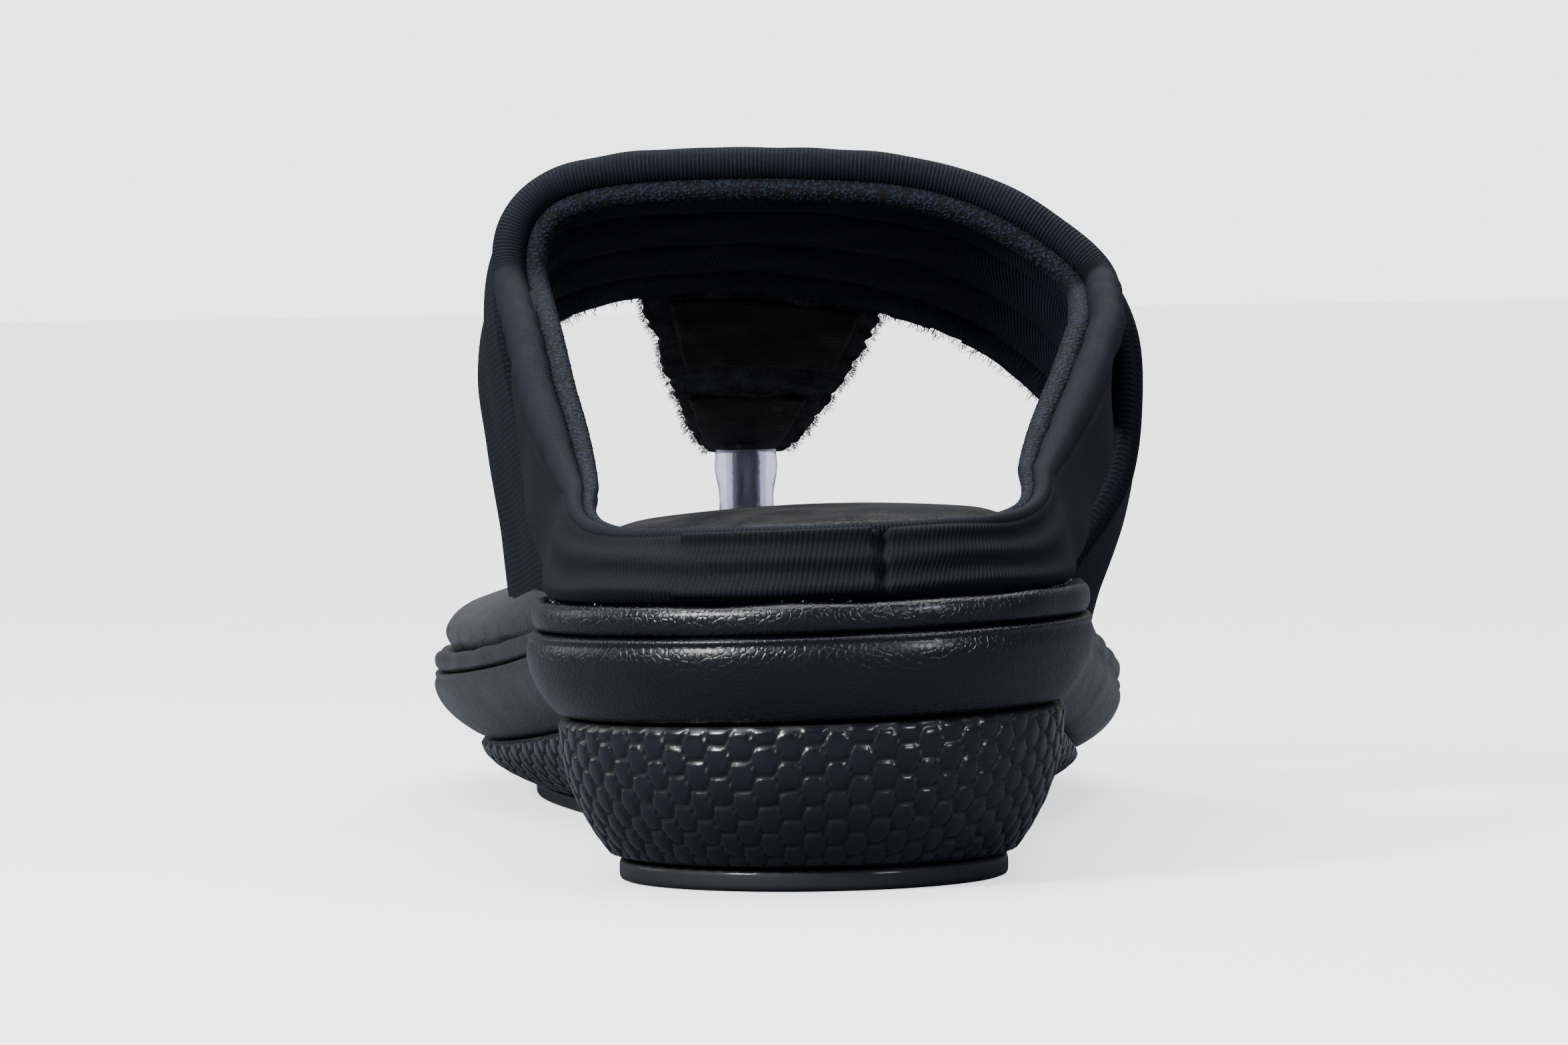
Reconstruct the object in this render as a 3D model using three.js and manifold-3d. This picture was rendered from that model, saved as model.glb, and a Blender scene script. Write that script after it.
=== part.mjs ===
// Slingback flip flop for the right foot, built up as it would come apart on a bench.
// Millimetres, +Z up, +Y towards the toes, +X towards the little toe (lateral).
// The origin lies on the ground under the centre of the heel's round end.

import * as THREE from 'three';
import * as BufferGeometryUtils from 'three/addons/utils/BufferGeometryUtils.js';
import Module from 'manifold-3d';

const wasm = await Module();
wasm.setup();

// ---------------------------------------------------------------- driving dimensions

// Plan outline of the sole
const HEEL_RADIUS = 34.2;
const TOE_TIP_X = -14;
const TOE_TIP_Y = 223;
const TOE_FAN_Y = 186;
const MEDIAL = { side: -1, waistX: 31.5, waistY: 45, ballX: 52.6, ballY: 146 };
const LATERAL = { side: 1, waistX: 35, waistY: 40, ballX: 43.2, ballY: 124 };

// Heights of the sole's layers over the ground, at the heel and at the ball of the foot
const HEEL_END_Y = 5;
const BALL_START_Y = 146;
const TREAD_TOP = { heel: 2.6, ball: 2.2 };
const OUTSOLE_TOP = { heel: 20.1, ball: 6.4 };
const MIDSOLE_TOP = { heel: 30.8, ball: 15.6 };
const RIM_TOP = { heel: 34.5, ball: 18.4 };
const PILLOW_CROWN = { heel: 9.2, ball: 8.5 };
const BOARD_THICKNESS = 1.6;
const TOE_SPRING = 5;
const TOE_SPRING_START_Y = 152;
const HEEL_TILT = 0.02;
const BALL_TILT = -0.036;

// How far each layer's edge stands inside the sole's widest outline
const TREAD_INSET = { heel: 11.2, ball: 14.8 };
const OUTSOLE_FOOT_INSET = { heel: 10.4, ball: 14 };
const OUTSOLE_TOP_INSET = { heel: 4, ball: 7 };
const OUTSOLE_FLARE = 2.2;
const MIDSOLE_FLARE = 2.6;
const RIM_OUTER_INSET = 0.7;
const RIM_INNER_INSET = 3.3;
const PILLOW_INSET = { heel: 7, medialBall: 1.6, lateralBall: 5.6 };
const PILLOW_NARROW_END_Y = 55;
const PILLOW_WIDE_START_Y = 100;
const COVER_THICKNESS = 1.2;

// Instep band: an arch of shell, foam and lining over the foot
const BAND_REAR_Y = 79;
const BAND_FRONT_Y = 128;
const BAND_TOP_LEAN = 6;
const SHELL_THICKNESS = 0.9;
const BAND_FOAM_THICKNESS = 3;
const LINING_THICKNESS = 1;
const ANCHOR_BEND_RADIUS = 7;
const ANCHOR_LENGTH = 9;
const MEDIAL_LEG_TUCK = 5.5;
const COLLAR_ROLL_RADIUS = 2.3;
const LINING_ROLL_RADIUS = 1.4;

// Tongue that joins the band to the toe post
const TONGUE_TOP_HALF_WIDTH = 16.8;
const TONGUE_TIP_HALF_WIDTH = 4.6;
const TONGUE_TAPER = 1.15;
const TONGUE_TOP_X = -5.5;
const TONGUE_THICKNESS = 0.9;
const FELT_THICKNESS = 1.2;
const TAPE_THICKNESS = 0.6;

// Toe post
const POST_X = -8.3;
const POST_Y = 161;
const POST_TOP_Z = 45.5;
const POST_TRIM_REACH = 12;
const POST_RADIUS = 4.1;
const POST_CORE_RADIUS = 2.6;
const WASHER_RADIUS = 9;
const WASHER_THICKNESS = 2;

// Heel sling and the hinge line of its two round-ended tabs
const SLING_INSET = 1.6;
const SLING_HEEL_HEIGHT = 8.2;
const SLING_LEAN = { heel: 0.36, pivot: -0.05 };
const SLING_SLEEVE_THICKNESS = 0.9;
const SLING_ELASTIC_THICKNESS = 1.2;
const SLING_LINING_THICKNESS = 0.7;
const SLING_TAB_RADIUS = 10;
const SLING_SEAM_X = 8;
const BACK_PATCH_WIDTH = 23.6;
const BACK_PATCH_THICKNESS = 0.8;
const SLING_PIVOT = { y: 78, z: 62 };
const SLING_PIVOT_X = { medial: 39.8, lateral: 43.8 };

// Clearances
const GAP = 0.3;
const SLING_RIM_CLEARANCE = 0.5;
const TAB_CLEARANCE = 1;
const ANCHOR_CLEARANCE = 0.5;

// Facets
const HEEL_STEPS = 7;
const SIDE_STEPS = 9;
const TOE_STEPS = 6;
const BAND_STEPS_ROUND = 36;
const BAND_STEPS_LONG = 4;
const TUBE_SIDES = 8;

// ---------------------------------------------------------------- small maths

const clamp01 = (t) => Math.min(1, Math.max(0, t));
const mix = (a, b, t) => a + (b - a) * t;

// Smooth step from 0 to 1 with level ends
function ease(t) {
  const c = clamp01(t);
  return c * c * (3 - 2 * c);
}

// Value that goes from a.heel to a.ball along the sole
function alongSole(a, y) {
  return mix(a.heel, a.ball, ease((y - HEEL_END_Y) / (BALL_START_Y - HEEL_END_Y)));
}

// ---------------------------------------------------------------- solids from points

// Closed geometry from points and triangles: equal points are merged, slivers of no area
// are dropped, and the faces are turned outwards.
function closedGeometry(points, triangles) {
  const keyOf = (p) => `${Math.round(p.x * 1e4)},${Math.round(p.y * 1e4)},${Math.round(p.z * 1e4)}`;
  const indexOfKey = new Map();
  const kept = [];
  const newIndex = points.map((p) => {
    const key = keyOf(p);
    if (!indexOfKey.has(key)) {
      indexOfKey.set(key, kept.length);
      kept.push(p);
    }
    return indexOfKey.get(key);
  });
  let index = triangles.map((t) => t.map((i) => newIndex[i]));
  index = index.filter(([a, b, c]) => a !== b && b !== c && c !== a);
  const cross = new THREE.Vector3();
  const sixVolumes = index.reduce(
    (sum, [a, b, c]) => sum + cross.crossVectors(kept[b], kept[c]).dot(kept[a]),
    0,
  );
  if (sixVolumes < 0) {
    index = index.map(([a, b, c]) => [a, c, b]);
  }
  const geometry = new THREE.BufferGeometry();
  geometry.setAttribute('position', new THREE.Float32BufferAttribute(kept.flatMap((p) => p.toArray()), 3));
  geometry.setIndex(index.flat());
  return geometry;
}

// Solid skinned over rings of equal length. Its end rings fold shut on the spine, or with
// looped = true the last ring joins the first and the solid is itself a ring.
function skin(rings, looped = false) {
  const count = rings[0].length;
  const triangles = [];
  const bands = looped ? rings.length : rings.length - 1;
  for (let r = 0; r < bands; r += 1) {
    const low = r * count;
    const high = ((r + 1) % rings.length) * count;
    for (let i = 0; i < count; i += 1) {
      const j = (i + 1) % count;
      triangles.push([low + i, low + j, high + j], [low + i, high + j, high + i]);
    }
  }
  return closedGeometry(rings.flat(), triangles);
}

// Outward normals of a grid of points, rows by columns
function gridNormals(grid) {
  const rows = grid.length;
  const columns = grid[0].length;
  return grid.map((row, r) => row.map((_, c) => {
    const alongRow = grid[r][Math.min(c + 1, columns - 1)].clone().sub(grid[r][Math.max(c - 1, 0)]);
    const acrossRows = grid[Math.min(r + 1, rows - 1)][c].clone().sub(grid[Math.max(r - 1, 0)][c]);
    return alongRow.cross(acrossRows).normalize();
  }));
}

// Sheet of material between two grids of the same size, its outer and its inner face
function slab(outer, inner) {
  const rows = outer.length;
  const columns = outer[0].length;
  const points = [...outer.flat(), ...inner.flat()];
  const back = rows * columns;
  const triangles = [];
  const quad = (a, b, c, d) => triangles.push([a, b, c], [a, c, d]);
  for (let r = 0; r < rows - 1; r += 1) {
    for (let c = 0; c < columns - 1; c += 1) {
      const a = r * columns + c;
      quad(a, a + 1, a + columns + 1, a + columns);
      quad(back + a, back + a + columns, back + a + columns + 1, back + a + 1);
    }
  }
  const rim = [];
  for (let c = 0; c < columns; c += 1) rim.push(c);
  for (let r = 1; r < rows; r += 1) rim.push(r * columns + columns - 1);
  for (let c = columns - 2; c >= 0; c -= 1) rim.push((rows - 1) * columns + c);
  for (let r = rows - 2; r > 0; r -= 1) rim.push(r * columns);
  rim.forEach((a, i) => {
    const b = rim[(i + 1) % rim.length];
    quad(b, a, back + a, back + b);
  });
  return closedGeometry(points, triangles);
}

// Sheet of material over a grid, between two depths under the grid's face
function sheet(grid, depthFrom, depthTo) {
  const normals = gridNormals(grid);
  const layer = (depth) => grid.map((row, r) => row.map(
    (p, c) => p.clone().addScaledVector(normals[r][c], -depth),
  ));
  return slab(layer(depthFrom), layer(depthTo));
}

// Geometry to manifold solid and back, for cuts
function toSolid(geometry) {
  const bare = geometry.clone();
  bare.deleteAttribute('normal');
  bare.deleteAttribute('uv');
  const merged = BufferGeometryUtils.mergeVertices(bare, 1e-4);
  return new wasm.Manifold(new wasm.Mesh({
    numProp: 3,
    vertProperties: merged.attributes.position.array,
    triVerts: new Uint32Array(merged.index.array),
  }));
}

function toGeometry(solid) {
  const mesh = solid.getMesh();
  const geometry = new THREE.BufferGeometry();
  geometry.setAttribute('position', new THREE.BufferAttribute(new Float32Array(mesh.vertProperties), 3));
  geometry.setIndex(new THREE.BufferAttribute(new Uint32Array(mesh.triVerts), 1));
  return geometry;
}

// The body with every cutter taken away; offcuts that fall free are thrown away
function cut(body, cutters) {
  const rest = cutters.reduce((solid, cutter) => solid.subtract(toSolid(cutter)), toSolid(body));
  const pieces = rest.decompose();
  pieces.sort((a, b) => b.volume() - a.volume());
  return toGeometry(pieces[0]);
}

// Upright round bar between two heights
function bar(x, y, zFrom, zTo, radiusFrom, radiusTo = radiusFrom) {
  const height = zTo - zFrom;
  const geometry = new THREE.CylinderGeometry(radiusTo, radiusFrom, height, 24);
  geometry.rotateX(Math.PI / 2);
  geometry.translate(x, y, zFrom + height / 2);
  return geometry;
}

// ---------------------------------------------------------------- the sole's outline

// x of the sole's widest outline on one side: a round heel, level at waist and ball, and
// a quarter ellipse from the ball to the toe tip.
function edgeX(edge, y) {
  const { side, waistX, waistY, ballX, ballY } = edge;
  if (y < 0) {
    return side * Math.sqrt(Math.max(0, HEEL_RADIUS ** 2 - y ** 2));
  }
  if (y < waistY) {
    return side * mix(HEEL_RADIUS, waistX, ease(y / waistY));
  }
  if (y < ballY) {
    return side * mix(waistX, ballX, ease((y - waistY) / (ballY - waistY)));
  }
  const share = Math.min(1, (y - ballY) / (TOE_TIP_Y - ballY));
  return TOE_TIP_X + (side * ballX - TOE_TIP_X) * Math.sqrt(1 - share ** 2);
}

const spineX = (y) => (edgeX(MEDIAL, y) + edgeX(LATERAL, y)) / 2;

// Stations from the heel's back to the toe tip, close together on both round ends
function stationsY() {
  const quarter = Math.PI / 2;
  const ys = [];
  for (let i = 0; i < HEEL_STEPS; i += 1) ys.push(-HEEL_RADIUS * Math.cos((quarter * i) / HEEL_STEPS));
  for (let i = 0; i < SIDE_STEPS; i += 1) ys.push((TOE_FAN_Y * i) / SIDE_STEPS);
  for (let i = 0; i <= TOE_STEPS; i += 1) {
    ys.push(TOE_FAN_Y + (TOE_TIP_Y - TOE_FAN_Y) * Math.sin((quarter * i) / TOE_STEPS));
  }
  return ys;
}

// Outline points all round, each with the point of the spine that it looks at
const OUTLINE = (() => {
  const ys = stationsY();
  const sample = (edge, y) => {
    const spineY = Math.min(TOE_FAN_Y, Math.max(0, y));
    return { edge, x: edgeX(edge, y), y, spineX: spineX(spineY), spineY };
  };
  const lateral = ys.map((y) => sample(LATERAL, y));
  const medial = ys.slice(1, -1).reverse().map((y) => sample(MEDIAL, y));
  return [...lateral, ...medial];
})();

// Ring that follows the outline, moved in towards the spine, at heights from heightOf(x, y)
function ring(insetOf, heightOf) {
  return OUTLINE.map((o) => {
    const toSpine = new THREE.Vector2(o.spineX - o.x, o.spineY - o.y);
    const step = toSpine.clone().setLength(Math.min(insetOf(o), toSpine.length()));
    const x = o.x + step.x;
    const y = o.y + step.y;
    return new THREE.Vector3(x, y, heightOf(x, y));
  });
}

// Ring that has gone a share of the way from an inset ring to the spine
function innerRing(insetOf, share, heightOf) {
  return ring(insetOf, heightOf).map((p, i) => {
    const x = mix(p.x, OUTLINE[i].spineX, share);
    const y = mix(p.y, OUTLINE[i].spineY, share);
    return new THREE.Vector3(x, y, heightOf(x, y));
  });
}

// Rings that close a face over the spine, from the edge inwards
function face(insetOf, heightOf) {
  return [innerRing(insetOf, 0.5, heightOf), innerRing(insetOf, 1, heightOf)];
}

// ---------------------------------------------------------------- the sole's heights

const toeSpring = (y) => TOE_SPRING * clamp01((y - TOE_SPRING_START_Y) / (TOE_TIP_Y - TOE_SPRING_START_Y)) ** 2;
const tilt = (y) => alongSole({ heel: HEEL_TILT, ball: BALL_TILT }, y);
const ground = (x, y) => toeSpring(y);
const treadTop = (x, y) => alongSole(TREAD_TOP, y) + toeSpring(y);
const tilted = (layer) => (x, y) => alongSole(layer, y) + toeSpring(y) + tilt(y) * x;
const outsoleTop = tilted(OUTSOLE_TOP);
const midsoleTop = tilted(MIDSOLE_TOP);
const rimTop = tilted(RIM_TOP);
const raised = (heightOf, rise) => (x, y) => heightOf(x, y) + rise;
const boardTop = raised(midsoleTop, GAP + BOARD_THICKNESS);
const crown = (y) => alongSole(PILLOW_CROWN, y) - 2 * ease((y - BALL_START_Y) / (TOE_TIP_Y - BALL_START_Y));

// ---------------------------------------------------------------- sole parts

function tread() {
  const inset = (o) => alongSole(TREAD_INSET, o.y);
  const edgeInset = (o) => inset(o) - 0.5;
  return skin([
    ...face(inset, ground).reverse(),
    ring(inset, ground),
    ring(edgeInset, treadTop),
    ...face(edgeInset, treadTop),
  ]);
}

// Bowl side: most of the flare is near the foot, as the power of the height still to go
function outsole() {
  const at = (share) => (o) => mix(
    alongSole(OUTSOLE_TOP_INSET, o.y),
    alongSole(OUTSOLE_FOOT_INSET, o.y),
    (1 - share) ** OUTSOLE_FLARE,
  );
  const base = raised(treadTop, GAP);
  const height = (share) => (x, y) => mix(base(x, y), outsoleTop(x, y), share);
  return skin([
    ...face(at(0), height(0)).reverse(),
    ...[0, 0.18, 0.4, 0.7, 1].map((share) => ring(at(share), height(share))),
    ...face(at(1), height(1)),
  ]);
}

// Rounded side: widest at the groove, tucked in over the outsole
function midsole(washerPocket) {
  const at = (share) => (o) => alongSole(OUTSOLE_TOP_INSET, o.y) * (1 - share) ** MIDSOLE_FLARE;
  const base = raised(outsoleTop, GAP);
  const height = (share) => (x, y) => mix(base(x, y), midsoleTop(x, y), share);
  return cut(skin([
    ...face(at(0), height(0)).reverse(),
    ...[0, 0.12, 0.3, 0.55, 1].map((share) => ring(at(share), height(share))),
    ...face(at(1), height(1)),
  ]), [washerPocket]);
}

function rim() {
  const outer = () => RIM_OUTER_INSET;
  const crest = () => (RIM_OUTER_INSET + RIM_INNER_INSET) / 2;
  const inner = () => RIM_INNER_INSET;
  const base = raised(midsoleTop, GAP);
  const height = (share) => (x, y) => mix(base(x, y), rimTop(x, y), share);
  return skin([
    ring(inner, height(0)),
    ring(outer, height(0)),
    ring(outer, height(0.7)),
    ring(crest, height(1)),
    ring(inner, height(0.8)),
  ], true);
}

function insoleBoard(postHole) {
  const inset = () => RIM_INNER_INSET + GAP;
  const base = raised(midsoleTop, GAP);
  return cut(skin([
    ...face(inset, base).reverse(),
    ring(inset, base),
    ring(inset, boardTop),
    ...face(inset, boardTop),
  ]), [postHole]);
}

// Edge inset of the pillow where it swells over the rim
function pillowInset(o) {
  const wide = o.edge.side < 0 ? PILLOW_INSET.medialBall : PILLOW_INSET.lateralBall;
  const share = ease((o.y - PILLOW_NARROW_END_Y) / (PILLOW_WIDE_START_Y - PILLOW_NARROW_END_Y));
  return mix(PILLOW_INSET.heel, wide, share);
}

// Rings of the pillow's outside, or of a face a given depth inside it, from the foot up
function pillowRings(depth) {
  const skirt = () => RIM_INNER_INSET + 2 * GAP + depth;
  const swell = (more) => (o) => pillowInset(o) + more + depth;
  const over = (share) => (x, y) => rimTop(x, y) + GAP + share * (crown(y) - depth);
  const foot = raised(boardTop, GAP);
  return [
    ring(skirt, foot),
    ring(skirt, (x, y) => rimTop(x, y) + GAP - 0.5),
    ring(swell(0.6), over(0.12)),
    ring(swell(0), over(0.4)),
    ring(swell(2.2), over(0.78)),
    ring(swell(6.5), over(0.95)),
    ...face(swell(6.5), over(1)),
  ];
}

function footbedCover(cutters) {
  const outside = pillowRings(0);
  const inside = pillowRings(COVER_THICKNESS);
  return cut(skin([...outside.reverse(), ...inside]), cutters);
}

function footbedFoam(cutters) {
  const rings = pillowRings(COVER_THICKNESS + GAP);
  const foot = face(() => RIM_INNER_INSET + 3 * GAP + COVER_THICKNESS, raised(boardTop, GAP));
  return cut(skin([...foot.reverse(), ...rings]), cutters);
}

// ---------------------------------------------------------------- instep band

const BAND_THICKNESS = SHELL_THICKNESS + BAND_FOAM_THICKNESS + LINING_THICKNESS + 2 * GAP;

// Outer face of the arch at its rear and front edges, medial side first, as x and z
const ARCH_REAR = [
  [-36.5, 44], [-39, 57], [-41, 70], [-40.4, 79], [-35.5, 85], [-26, 87.8], [-12, 88.6],
  [2, 88.3], [14, 87.1], [24, 84.2], [33, 79.2], [40, 73], [44, 65], [44.6, 56], [42.6, 45],
];
const ARCH_FRONT = [
  [-42.4, 38], [-44, 48], [-45, 57], [-42.8, 65], [-36, 70.8], [-26, 74], [-13, 75],
  [-1, 74.2], [10, 72], [20, 68.8], [29, 64], [36.5, 57.5], [41.5, 50], [43.2, 42], [42.6, 35],
];

// Anchor of one leg, from the end under the pillow, out, round the bend and up. The medial
// leg is tucked further in at its front. The room cut for an anchor is longer than the
// anchor by extraLength.
function anchorPoints(edge, y, extraLength) {
  const frontShare = (y - BAND_REAR_Y) / (BAND_FRONT_Y - BAND_REAR_Y);
  const tuck = edge.side < 0 ? MEDIAL_LEG_TUCK * ease(frontShare) : 0;
  const legX = edgeX(edge, y) - edge.side * (RIM_INNER_INSET + 2 * GAP + tuck);
  const centreX = legX - edge.side * ANCHOR_BEND_RADIUS;
  const place = (x, rise) => [x, boardTop(x, y) + ANCHOR_CLEARANCE + rise];
  const length = ANCHOR_LENGTH + extraLength;
  const points = [place(centreX - edge.side * length, 0), place(centreX - edge.side * 3, 0)];
  for (let i = 1; i <= 3; i += 1) {
    const angle = (Math.PI / 2) * (i / 3);
    const x = centreX + edge.side * ANCHOR_BEND_RADIUS * Math.sin(angle);
    points.push(place(x, ANCHOR_BEND_RADIUS * (1 - Math.cos(angle))));
  }
  return points;
}

// Curve of the band's outer face, from medial anchor to lateral anchor, a share of the
// way from the rear edge to the front edge
function bandSection(share, extraLength = 0) {
  const baseY = mix(BAND_REAR_Y, BAND_FRONT_Y, share);
  const arch = ARCH_REAR.map(([x, z], i) => [mix(x, ARCH_FRONT[i][0], share), mix(z, ARCH_FRONT[i][1], share)]);
  const medial = anchorPoints(MEDIAL, baseY, extraLength);
  const lateral = anchorPoints(LATERAL, baseY, extraLength).reverse();
  const flat = [...medial, ...arch, ...lateral];
  const lean = (z) => (1 - share) * BAND_TOP_LEAN * ease((z - SLING_PIVOT.z) / (ARCH_REAR[6][1] - SLING_PIVOT.z));
  return new THREE.CatmullRomCurve3(flat.map(([x, z]) => new THREE.Vector3(x, baseY + lean(z), z)));
}

// Grid over the band between two shares of its length
function bandGrid(shareFrom, shareTo, extraLength = 0) {
  const grid = [];
  for (let i = 0; i <= BAND_STEPS_LONG; i += 1) {
    const section = bandSection(mix(shareFrom, shareTo, i / BAND_STEPS_LONG), extraLength);
    grid.push(section.getPoints(BAND_STEPS_ROUND));
  }
  return grid;
}

// Room that the band needs through the footbed; spare is how far it also opens outwards
function bandRoom(spare) {
  const edgeShare = GAP / (BAND_FRONT_Y - BAND_REAR_Y);
  return sheet(bandGrid(-edgeShare, 1 + edgeShare, 2 * GAP), -spare, BAND_THICKNESS + GAP);
}

// Round room in the band's rear edge that a sling tab turns in
function tabRoom() {
  const radius = SLING_TAB_RADIUS + TAB_CLEARANCE;
  const reach = 2 * LATERAL.ballX + 2 * MEDIAL.ballX;
  const geometry = new THREE.CylinderGeometry(radius, radius, reach, 24);
  geometry.rotateZ(Math.PI / 2);
  geometry.translate(0, SLING_PIVOT.y, SLING_PIVOT.z);
  return geometry;
}

function bandLayer(depth, thickness, inFromEdges) {
  const layer = sheet(bandGrid(inFromEdges, 1 - inFromEdges), depth, depth + thickness);
  return cut(layer, [tabRoom()]);
}

// Roll along the rear edge of the collar, a given depth under the band's outer face and
// just behind the band's own edge
function collarRoll(radius, depth) {
  const samples = 120;
  const rows = [bandSection(0).getPoints(samples), bandSection(0.1).getPoints(samples)];
  const normals = gridNormals(rows)[0];
  const clearTop = SLING_PIVOT.z + SLING_TAB_RADIUS + TAB_CLEARANCE + radius;
  const path = rows[0].map((edge, i) => {
    const rearwards = edge.clone().sub(rows[1][i]).normalize();
    const under = edge.clone().addScaledVector(normals[i], -depth);
    return under.addScaledVector(rearwards, radius + GAP);
  });
  const upper = path.filter((p, i) => rows[0][i].z > clearTop);
  return tube(new THREE.CatmullRomCurve3(upper), radius, 26);
}

function tube(path, radius, steps) {
  const outline = new THREE.Shape();
  for (let i = 0; i < TUBE_SIDES; i += 1) {
    const angle = (2 * Math.PI * i) / TUBE_SIDES;
    const point = [radius * Math.cos(angle), radius * Math.sin(angle)];
    if (i === 0) outline.moveTo(...point);
    else outline.lineTo(...point);
  }
  outline.closePath();
  return new THREE.ExtrudeGeometry(outline, { steps, extrudePath: path, bevelEnabled: false });
}

// ---------------------------------------------------------------- tongue

// Point on the tongue's upper face: along goes from the band to the toe post, across
// from the medial to the lateral edge
function tonguePoint(across, along) {
  const centreX = mix(TONGUE_TOP_X, POST_X, ease(along));
  const halfWidth = mix(TONGUE_TOP_HALF_WIDTH, TONGUE_TIP_HALF_WIDTH, along ** TONGUE_TAPER);
  const x = centreX + across * halfWidth;
  const bandEdge = bandSection(1).getSpacedPoints(200).reduce(
    (best, p) => (p.z > ARCH_FRONT[3][1] - 12 && Math.abs(p.x - x) < Math.abs(best.x - x) ? p : best),
  );
  const underBand = (BAND_THICKNESS - TONGUE_THICKNESS - FELT_THICKNESS - GAP) * 0.8;
  const tipY = POST_Y + POST_RADIUS + 0.4;
  const tipZ = POST_TOP_Z + GAP + TONGUE_THICKNESS + FELT_THICKNESS + 2 * GAP;
  const y = mix(BAND_FRONT_Y + 2 * GAP, tipY, along);
  const z = mix(tipZ, bandEdge.z - underBand, Math.max(0, 1 - along) ** 1.35);
  return new THREE.Vector3(x, y, z);
}

function tongueGrid(acrossFrom, acrossTo, alongFrom, alongTo, stepsAcross = 6, stepsAlong = 7) {
  const grid = [];
  for (let i = 0; i <= stepsAlong; i += 1) {
    const row = [];
    for (let j = 0; j <= stepsAcross; j += 1) {
      row.push(tonguePoint(mix(acrossFrom, acrossTo, j / stepsAcross), mix(alongFrom, alongTo, i / stepsAlong)));
    }
    grid.push(row);
  }
  return grid;
}

// Room over the toe post that the tongue's layers take
function tongueRoom() {
  const layers = TONGUE_THICKNESS + GAP + FELT_THICKNESS + GAP;
  return sheet(tongueGrid(-1.4, 1.4, 0.5, 1.1), -POST_TRIM_REACH, layers);
}

const FELT_DEPTH = TONGUE_THICKNESS + GAP;
const TAPE_DEPTH = FELT_DEPTH + FELT_THICKNESS + GAP;

function tongueTape(acrossFrom, acrossTo, alongFrom, alongTo) {
  return sheet(tongueGrid(acrossFrom, acrossTo, alongFrom, alongTo, 3, 3), TAPE_DEPTH, TAPE_DEPTH + TAPE_THICKNESS);
}

// ---------------------------------------------------------------- heel sling

// Stations along one half of the sling, from the heel's back to the end of the tab
function slingStations(edge) {
  const quarter = Math.PI / 2;
  const radius = HEEL_RADIUS - SLING_INSET;
  const pivotX = edge.side < 0 ? SLING_PIVOT_X.medial : SLING_PIVOT_X.lateral;
  const stations = [];
  const add = (x, y, inX = -1, inY = 0) => {
    stations.push({ x: edge.side * x, y, inX: edge.side * inX, inY });
  };
  for (let i = 0; i < HEEL_STEPS; i += 1) {
    const angle = (quarter * i) / HEEL_STEPS;
    add(radius * Math.sin(angle), -radius * Math.cos(angle), -Math.sin(angle), Math.cos(angle));
  }
  const runSteps = 8;
  for (let i = 0; i < runSteps; i += 1) {
    const share = i / runSteps;
    add(mix(radius, pivotX, ease(share)), share * SLING_PIVOT.y);
  }
  const tabSteps = 5;
  for (let i = 0; i <= tabSteps; i += 1) {
    add(pivotX, SLING_PIVOT.y + SLING_TAB_RADIUS * Math.sin((1.35 * i) / tabSteps));
  }
  return stations;
}

// Middle height and half height of the sling at a station; the tab's end is an arc
// about the pivot
function slingHeights({ x, y }) {
  const halfHeel = SLING_HEEL_HEIGHT / 2;
  const heelMiddle = rimTop(x, y) + SLING_RIM_CLEARANCE + halfHeel;
  const rise = ease((y - HEEL_END_Y) / (SLING_PIVOT.y - SLING_TAB_RADIUS - HEEL_END_Y));
  if (y > SLING_PIVOT.y) {
    return { middle: SLING_PIVOT.z, half: Math.sqrt(SLING_TAB_RADIUS ** 2 - (y - SLING_PIVOT.y) ** 2) };
  }
  return { middle: mix(heelMiddle, SLING_PIVOT.z, rise), half: mix(halfHeel, SLING_TAB_RADIUS, rise) };
}

const SLING = [
  ...slingStations(MEDIAL).slice(1).reverse(),
  ...slingStations(LATERAL),
];

// Layer of the sling over a run of its stations, between two depths measured level from its
// outer face, keeping a share of its height. The sling leans in towards the pillow as it
// rises above its lower edge.
function slingLayer(stations, heightShare, depthFrom, thickness) {
  const columns = [-1, 0, 1];
  const grid = (depth) => columns.map((w) => stations.map((station) => {
    const { middle, half } = slingHeights(station);
    const lean = mix(SLING_LEAN.heel, SLING_LEAN.pivot, ease(station.y / SLING_PIVOT.y));
    const inwards = depth + lean * half * (1 + w * heightShare);
    const x = station.x + station.inX * inwards;
    const y = station.y + station.inY * inwards;
    return new THREE.Vector3(x, y, middle + w * half * heightShare);
  }));
  return slab(grid(depthFrom), grid(depthFrom + thickness));
}

// Station where the sling crosses a given x behind the heel
function slingStationAt(x) {
  const radius = HEEL_RADIUS - SLING_INSET;
  const y = -Math.sqrt(radius ** 2 - x ** 2);
  return { x, y, inX: -x / radius, inY: -y / radius };
}

const ELASTIC_DEPTH = SLING_SLEEVE_THICKNESS + GAP;
const SLING_LINING_DEPTH = ELASTIC_DEPTH + SLING_ELASTIC_THICKNESS + GAP;

function slingSleeve(edge) {
  const behindHeel = (s) => s.y < 0;
  const keep = edge.side < 0
    ? SLING.filter((s) => !behindHeel(s) ? s.x < 0 : s.x < SLING_SEAM_X - 1)
    : SLING.filter((s) => !behindHeel(s) ? s.x > 0 : s.x > SLING_SEAM_X + 1);
  const end = slingStationAt(SLING_SEAM_X + edge.side * (GAP / 2));
  const run = edge.side < 0 ? [...keep, end] : [end, ...keep];
  return slingLayer(run, 1, 0, SLING_SLEEVE_THICKNESS);
}

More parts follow.
